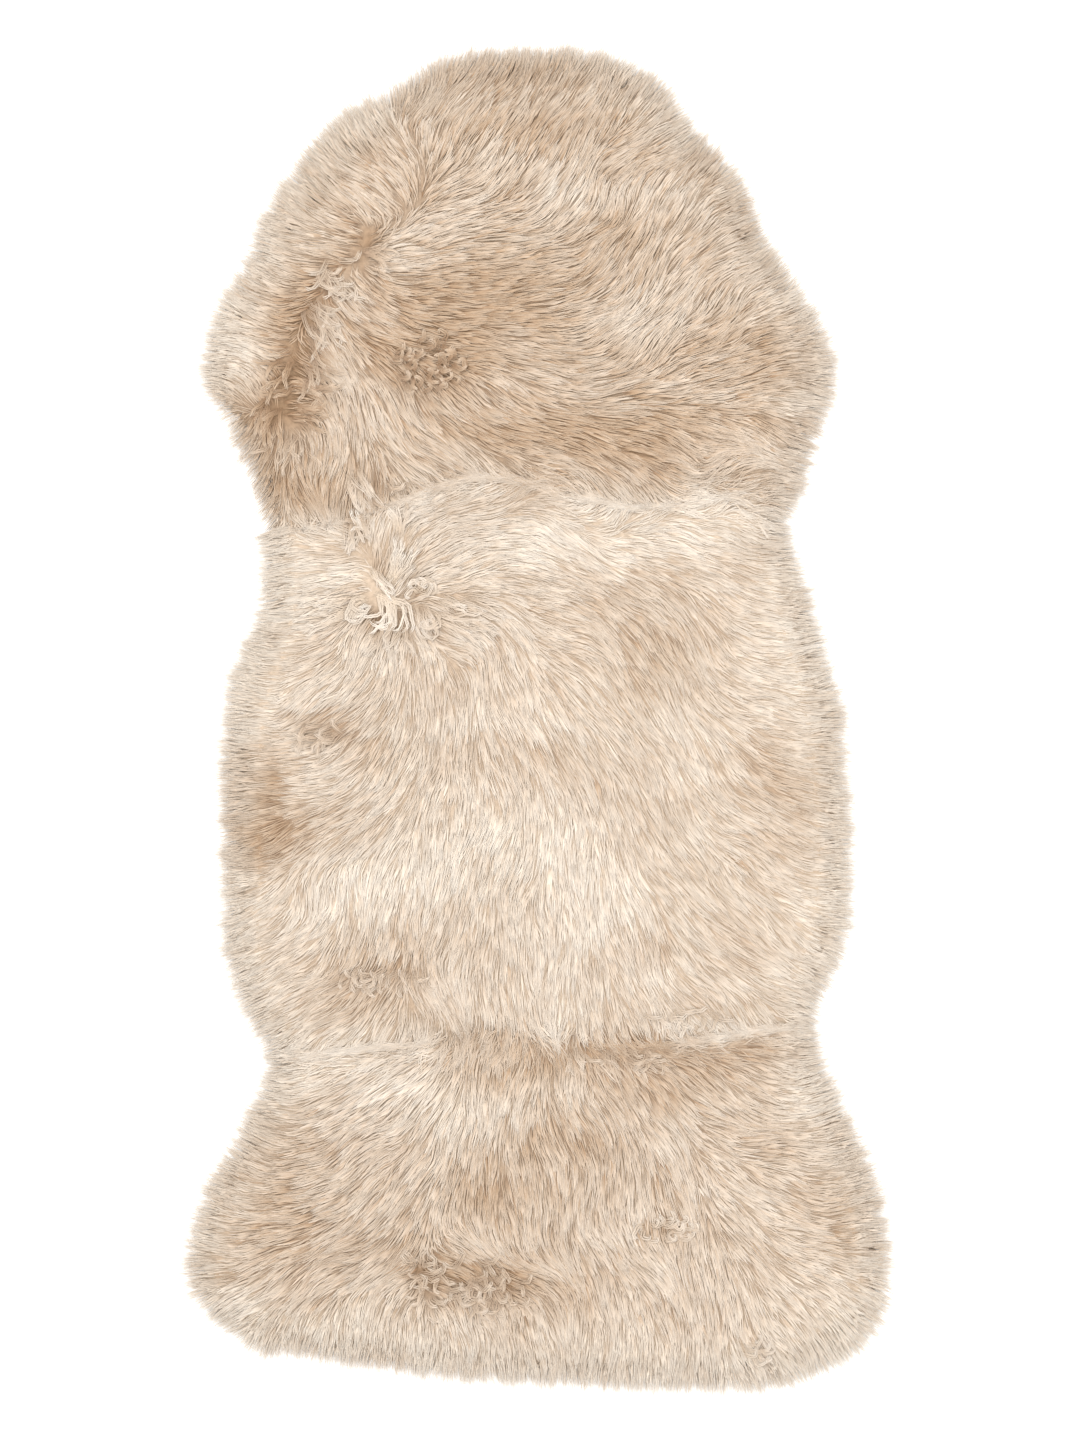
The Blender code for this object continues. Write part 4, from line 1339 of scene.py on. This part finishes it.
def make_base(name):
    piece = copy_of(f"fleece_{name}", f"wool_{name}_base")
    mesh = piece.data
    places = np.array([v.co for v in mesh.vertices]) / MM
    bottom = places[:, 2].min()
    past = np.clip(-at(INWARDS, places[:, :2]) - BASE_RIM, 0, None) * BASE_DRAWN_IN
    away = at(np.cos(OUTWARDS), places[:, :2]), at(np.sin(OUTWARDS), places[:, :2])
    places[:, :2] -= np.stack(away, -1) * past[:, None]
    share = (at(LAID, places[:, :2]) - BASE_SUNK[name]) / at(PILE, places[:, :2])
    height = bottom + (places[:, 2] - bottom) * np.clip(share, BASE_LEAST, BASE_MOST)
    places[:, 2] = np.maximum(height, BASE_OFF_FLOOR)
    mesh.vertices.foreach_set("co", (places * MM).ravel())
    # the down in the pockets under curls gets painted shade too
    tone = at(TONE, places[:, :2]) + POCKET_TAN_AND_SHADE * at(OPENED, places[:, :2])
    add_number(mesh, "tone", np.clip(tone, -1, 1))
    mesh.polygons.foreach_set("use_smooth", [True] * len(mesh.polygons))
    mesh.materials.append(DOWN)
    mesh.update()
    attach(piece, "root")
    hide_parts(f"fleece_{name}")
    wool_pieces[name].append(piece)
    print(piece.name, len(mesh.polygons), "faces")


for name in PELTS:
    make_base(name)

# %% [markdown]
# ## Suede
#
# Under the wool each pelt is a thin tanned skin, and the side that lies on the floor is suede: a short nap
# with soft clouds where the skin was thicker and finer veins. An even colour with a bump would look like
# card, so three noises of very different scales share one colour ramp, and only the finest one, the nap,
# raises the surface.

# %% The suede's material
SUEDE_STOPS = ((0.2, (0.36, 0.255, 0.175)), (0.8, (0.56, 0.44, 0.335)))
CLOUD_SCALE = 22.0  # clouds to a metre, and so on
VEIN_SCALE = 95.0
NAP_SCALE = 950.0
CLOUD_WEIGHT = 0.9
VEIN_WEIGHT = 0.35
NAP_WEIGHT = 0.25
SUEDE_DARKER = -0.28
NAP_BUMP = 0.25
NAP_HEIGHT = 0.4  # mm


def suede_material():
    material, tree, shader = principled("suede_flesh_side")
    place = tree.nodes.new("ShaderNodeTexCoord").outputs["Object"]
    clouds = noise(tree, place, CLOUD_SCALE, detail=5.0)
    veins = noise(tree, place, VEIN_SCALE, detail=6.0)
    nap = noise(tree, place, NAP_SCALE, detail=2.0)
    shade = number_node(tree, "MULTIPLY_ADD", clouds, CLOUD_WEIGHT, SUEDE_DARKER)
    shade = number_node(tree, "MULTIPLY_ADD", veins, VEIN_WEIGHT, shade)
    shade = number_node(tree, "MULTIPLY_ADD", nap, NAP_WEIGHT, shade)
    link(tree, ramp(tree, shade, SUEDE_STOPS), shader.inputs["Base Color"])
    bump = tree.nodes.new("ShaderNodeBump")
    bump.inputs["Strength"].default_value = NAP_BUMP
    bump.inputs["Distance"].default_value = NAP_HEIGHT * MM
    link(tree, nap, bump.inputs["Height"])
    link(tree, bump.outputs["Normal"], shader.inputs["Normal"])
    set_plain(shader, Roughness=0.92, Sheen_Weight=0.3, Sheen_Roughness=0.4, Specular_IOR_Level=0.2)
    return material


SUEDE = suede_material()
print("suede from", SUEDE_STOPS[0][1], "to", SUEDE_STOPS[1][1])

# %% [markdown]
# ## The hides
#
# A hide's cut edge is eased, and along the two cross seams the skins' borders turn up a little, so that the
# stitches sit in a shallow groove and the rug lies flat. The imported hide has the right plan, so a copy of
# it is inset on its underside, the border of the inset is lifted where a neighbour's edge is near, and a
# bevel eases the edges.

# %% Turn up the seam borders
EASED = 0.5  # mm, taken off the hide's edges
TURN_UP_BORDER = 5.0  # mm, how far in the border starts to turn up
TURN_UP = 1.1  # mm, how high its edge is off the floor
SEAM_NEAR = 3.0  # mm, a neighbour's edge this near makes it a seam
FLAT_ANGLE = 0.5  # degrees, triangles that meet at less are one face
FACES_DOWN = -0.9  # a face's normal along Z, at most
UPRIGHT = 0.5  # a side face's normal along Z is less than this, up or down


def corner_places(node):
    return np.array([v.co[:2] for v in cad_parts[node].data.vertices]) / MM


def turn_up_border(piece, name):
    """Insets the underside and lifts its edge along the seams. Gives the number of lifted corners."""
    bpy.ops.object.select_all(action="DESELECT")
    piece.select_set(True)
    bpy.context.view_layer.objects.active = piece
    bpy.ops.object.mode_set(mode="EDIT")
    bpy.ops.mesh.select_all(action="SELECT")
    bpy.ops.mesh.dissolve_limited(angle_limit=math.radians(FLAT_ANGLE))
    bpy.ops.mesh.select_all(action="DESELECT")
    shape = bmesh.from_edit_mesh(piece.data)
    for face in shape.faces:
        face.select = face.normal.z < FACES_DOWN
    bmesh.update_edit_mesh(piece.data)
    bpy.ops.mesh.inset(thickness=TURN_UP_BORDER * MM, use_even_offset=True)
    shape = bmesh.from_edit_mesh(piece.data)
    others = search_tree(np.concatenate([corner_places(f"hide_{o}") for o in PELTS if o != name]))
    lifted = 0
    for corner in {v for face in shape.faces if abs(face.normal.z) < UPRIGHT for v in face.verts}:
        away = others.find((corner.co.x / MM, corner.co.y / MM, 0))[2]
        if corner.co.z < EASED * MM and away < SEAM_NEAR:
            corner.co.z += TURN_UP * MM
            lifted += 1
    bmesh.update_edit_mesh(piece.data)
    bpy.ops.object.mode_set(mode="OBJECT")
    return lifted


print("edges turn up by", TURN_UP, "mm where a neighbour is within", SEAM_NEAR, "mm")

# %% [markdown]
# ## Eased edges
#
# Shears leave a crisp edge on a skin, and handling soon rounds it. The edge shows from below, so it is a
# real bevel and not a trick of the shader. A hide's area is measured once it is done.

# %% Finish the hides
EDGE_ANGLE = 50  # degrees, edges sharper than this are eased


def make_hide(name):
    """A hide and its area in square metres."""
    piece = copy_of(f"hide_{name}", f"hide_{name}_suede")
    lifted = turn_up_border(piece, name)
    bevel = piece.modifiers.new("eased edge", "BEVEL")
    bevel.width = EASED * MM
    bevel.segments = 2
    bevel.limit_method = "ANGLE"
    bevel.angle_limit = math.radians(EDGE_ANGLE)
    bpy.ops.object.modifier_apply(modifier=bevel.name)
    piece.data.materials.append(SUEDE)
    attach(piece, "root")
    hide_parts(f"hide_{name}")
    area = sum(face.area for face in piece.data.polygons) / 2
    print(piece.name, lifted, "corners lifted,", round(area, 4), "square metres")
    return piece, area


hides = {name: make_hide(name) for name in PELTS}

# %% [markdown]
# ## The thread
#
# Furriers' thread is twisted and drawn through wax, so it is a little glossier than the skin. It is under a
# millimetre thick here, so its twist needs no shape of its own: a very fine noise gives its light and dark.

# %% Waxed thread
PLY_SCALE = 1800.0  # light and dark spots to a metre
THREAD_STOPS = ((0.3, (0.42, 0.34, 0.25)), (0.7, (0.66, 0.57, 0.46)))


def thread_material():
    material, tree, shader = principled("waxed_thread")
    place = tree.nodes.new("ShaderNodeTexCoord").outputs["Object"]
    ply = noise(tree, place, PLY_SCALE, detail=2.0)
    link(tree, ramp(tree, ply, THREAD_STOPS), shader.inputs["Base Color"])
    set_plain(shader, Roughness=0.6, Specular_IOR_Level=0.4)
    return material


THREAD = thread_material()
print("thread from", THREAD_STOPS[0][1], "to", THREAD_STOPS[1][1])

# %% [markdown]
# ## The seams
#
# Skins are joined edge to edge with a whip stitch of waxed thread: each stitch crosses the joint a little
# slantwise, so the thread shows as a row of short bars on the suede. The joint's line is read from the
# hides' own borders. One stitch is a bent strand like the wool's, so the same function makes them all.

# %% Whip stitches
STITCH_STEP = 4.0  # mm
STITCH_HALF = 3.1  # mm, to each side of the joint
STITCH_SLANT = 1.3  # mm, between its two ends, along the seam
STITCH_VARIES = (0.9, 1.1)
STITCH_SHARES = (0.0, 0.12, 0.5, 0.88, 1.0)
STITCH_PROFILE = (0, 1, 1, 1, 0)
THREAD_HALF_WIDTH = 0.42
THREAD_LOW = 0.25  # mm, its middle over the floor
THREAD_HIGH = 0.75  # mm, its ends


def seam_line(name, other):
    """Places in mm along the joint of two hides, and the direction there."""
    edge = corner_places(f"hide_{name}")
    tree = search_tree(edge)
    line = set()
    for x, y in corner_places(f"hide_{other}"):
        found, _, away = tree.find((x, y, 0))
        if away < SEAM_NEAR:
            line.add((round((x + found[0]) / 2, 2), round((y + found[1]) / 2, 2)))
    line = np.array(sorted(line))
    run = np.concatenate([[0], np.cumsum(np.linalg.norm(np.diff(line, axis=0), axis=1))])
    spots = np.arange(STITCH_STEP, run[-1] - STITCH_STEP, STITCH_STEP)
    middle = np.stack([np.interp(spots, run, line[:, axis]) for axis in (0, 1)], -1)
    ahead = np.gradient(middle, axis=0)
    return middle, ahead / np.linalg.norm(ahead, axis=-1, keepdims=True)


def stitch_seam(name, other, seed):
    middle, ahead = seam_line(name, other)
    chance = np.random.default_rng(seed)
    shares = np.array(STITCH_SHARES)
    from_middle = (2 * shares - 1)[:, None]
    side = -to_the_right(ahead)[:, None] * (from_middle * STITCH_HALF)
    slant = ahead[:, None] * (from_middle * STITCH_SLANT / 2)
    plan = middle[:, None] + (side + slant) * chance.uniform(*STITCH_VARIES, (len(middle), 1, 1))
    height = THREAD_LOW + (THREAD_HIGH - THREAD_LOW) * np.abs(from_middle) ** 2
    spine = np.concatenate([plan, np.broadcast_to(height, (*plan.shape[:2], 1))], -1)
    half_width = np.broadcast_to(THREAD_HALF_WIDTH * np.array(STITCH_PROFILE), plan.shape[:2])
    count = len(middle)
    bunch = Bunch(spine, half_width, np.zeros(count), chance.uniform(0, 1, count), shares)
    piece = spin_strands(f"stitches_{name}_{other}", bunch, THREAD, soft=False)
    return piece


stitches = {
    "head": stitch_seam("head", "middle", seed=701),
    "middle": stitch_seam("middle", "tail", seed=702),
}
print("seams sewn from", sorted(stitches))
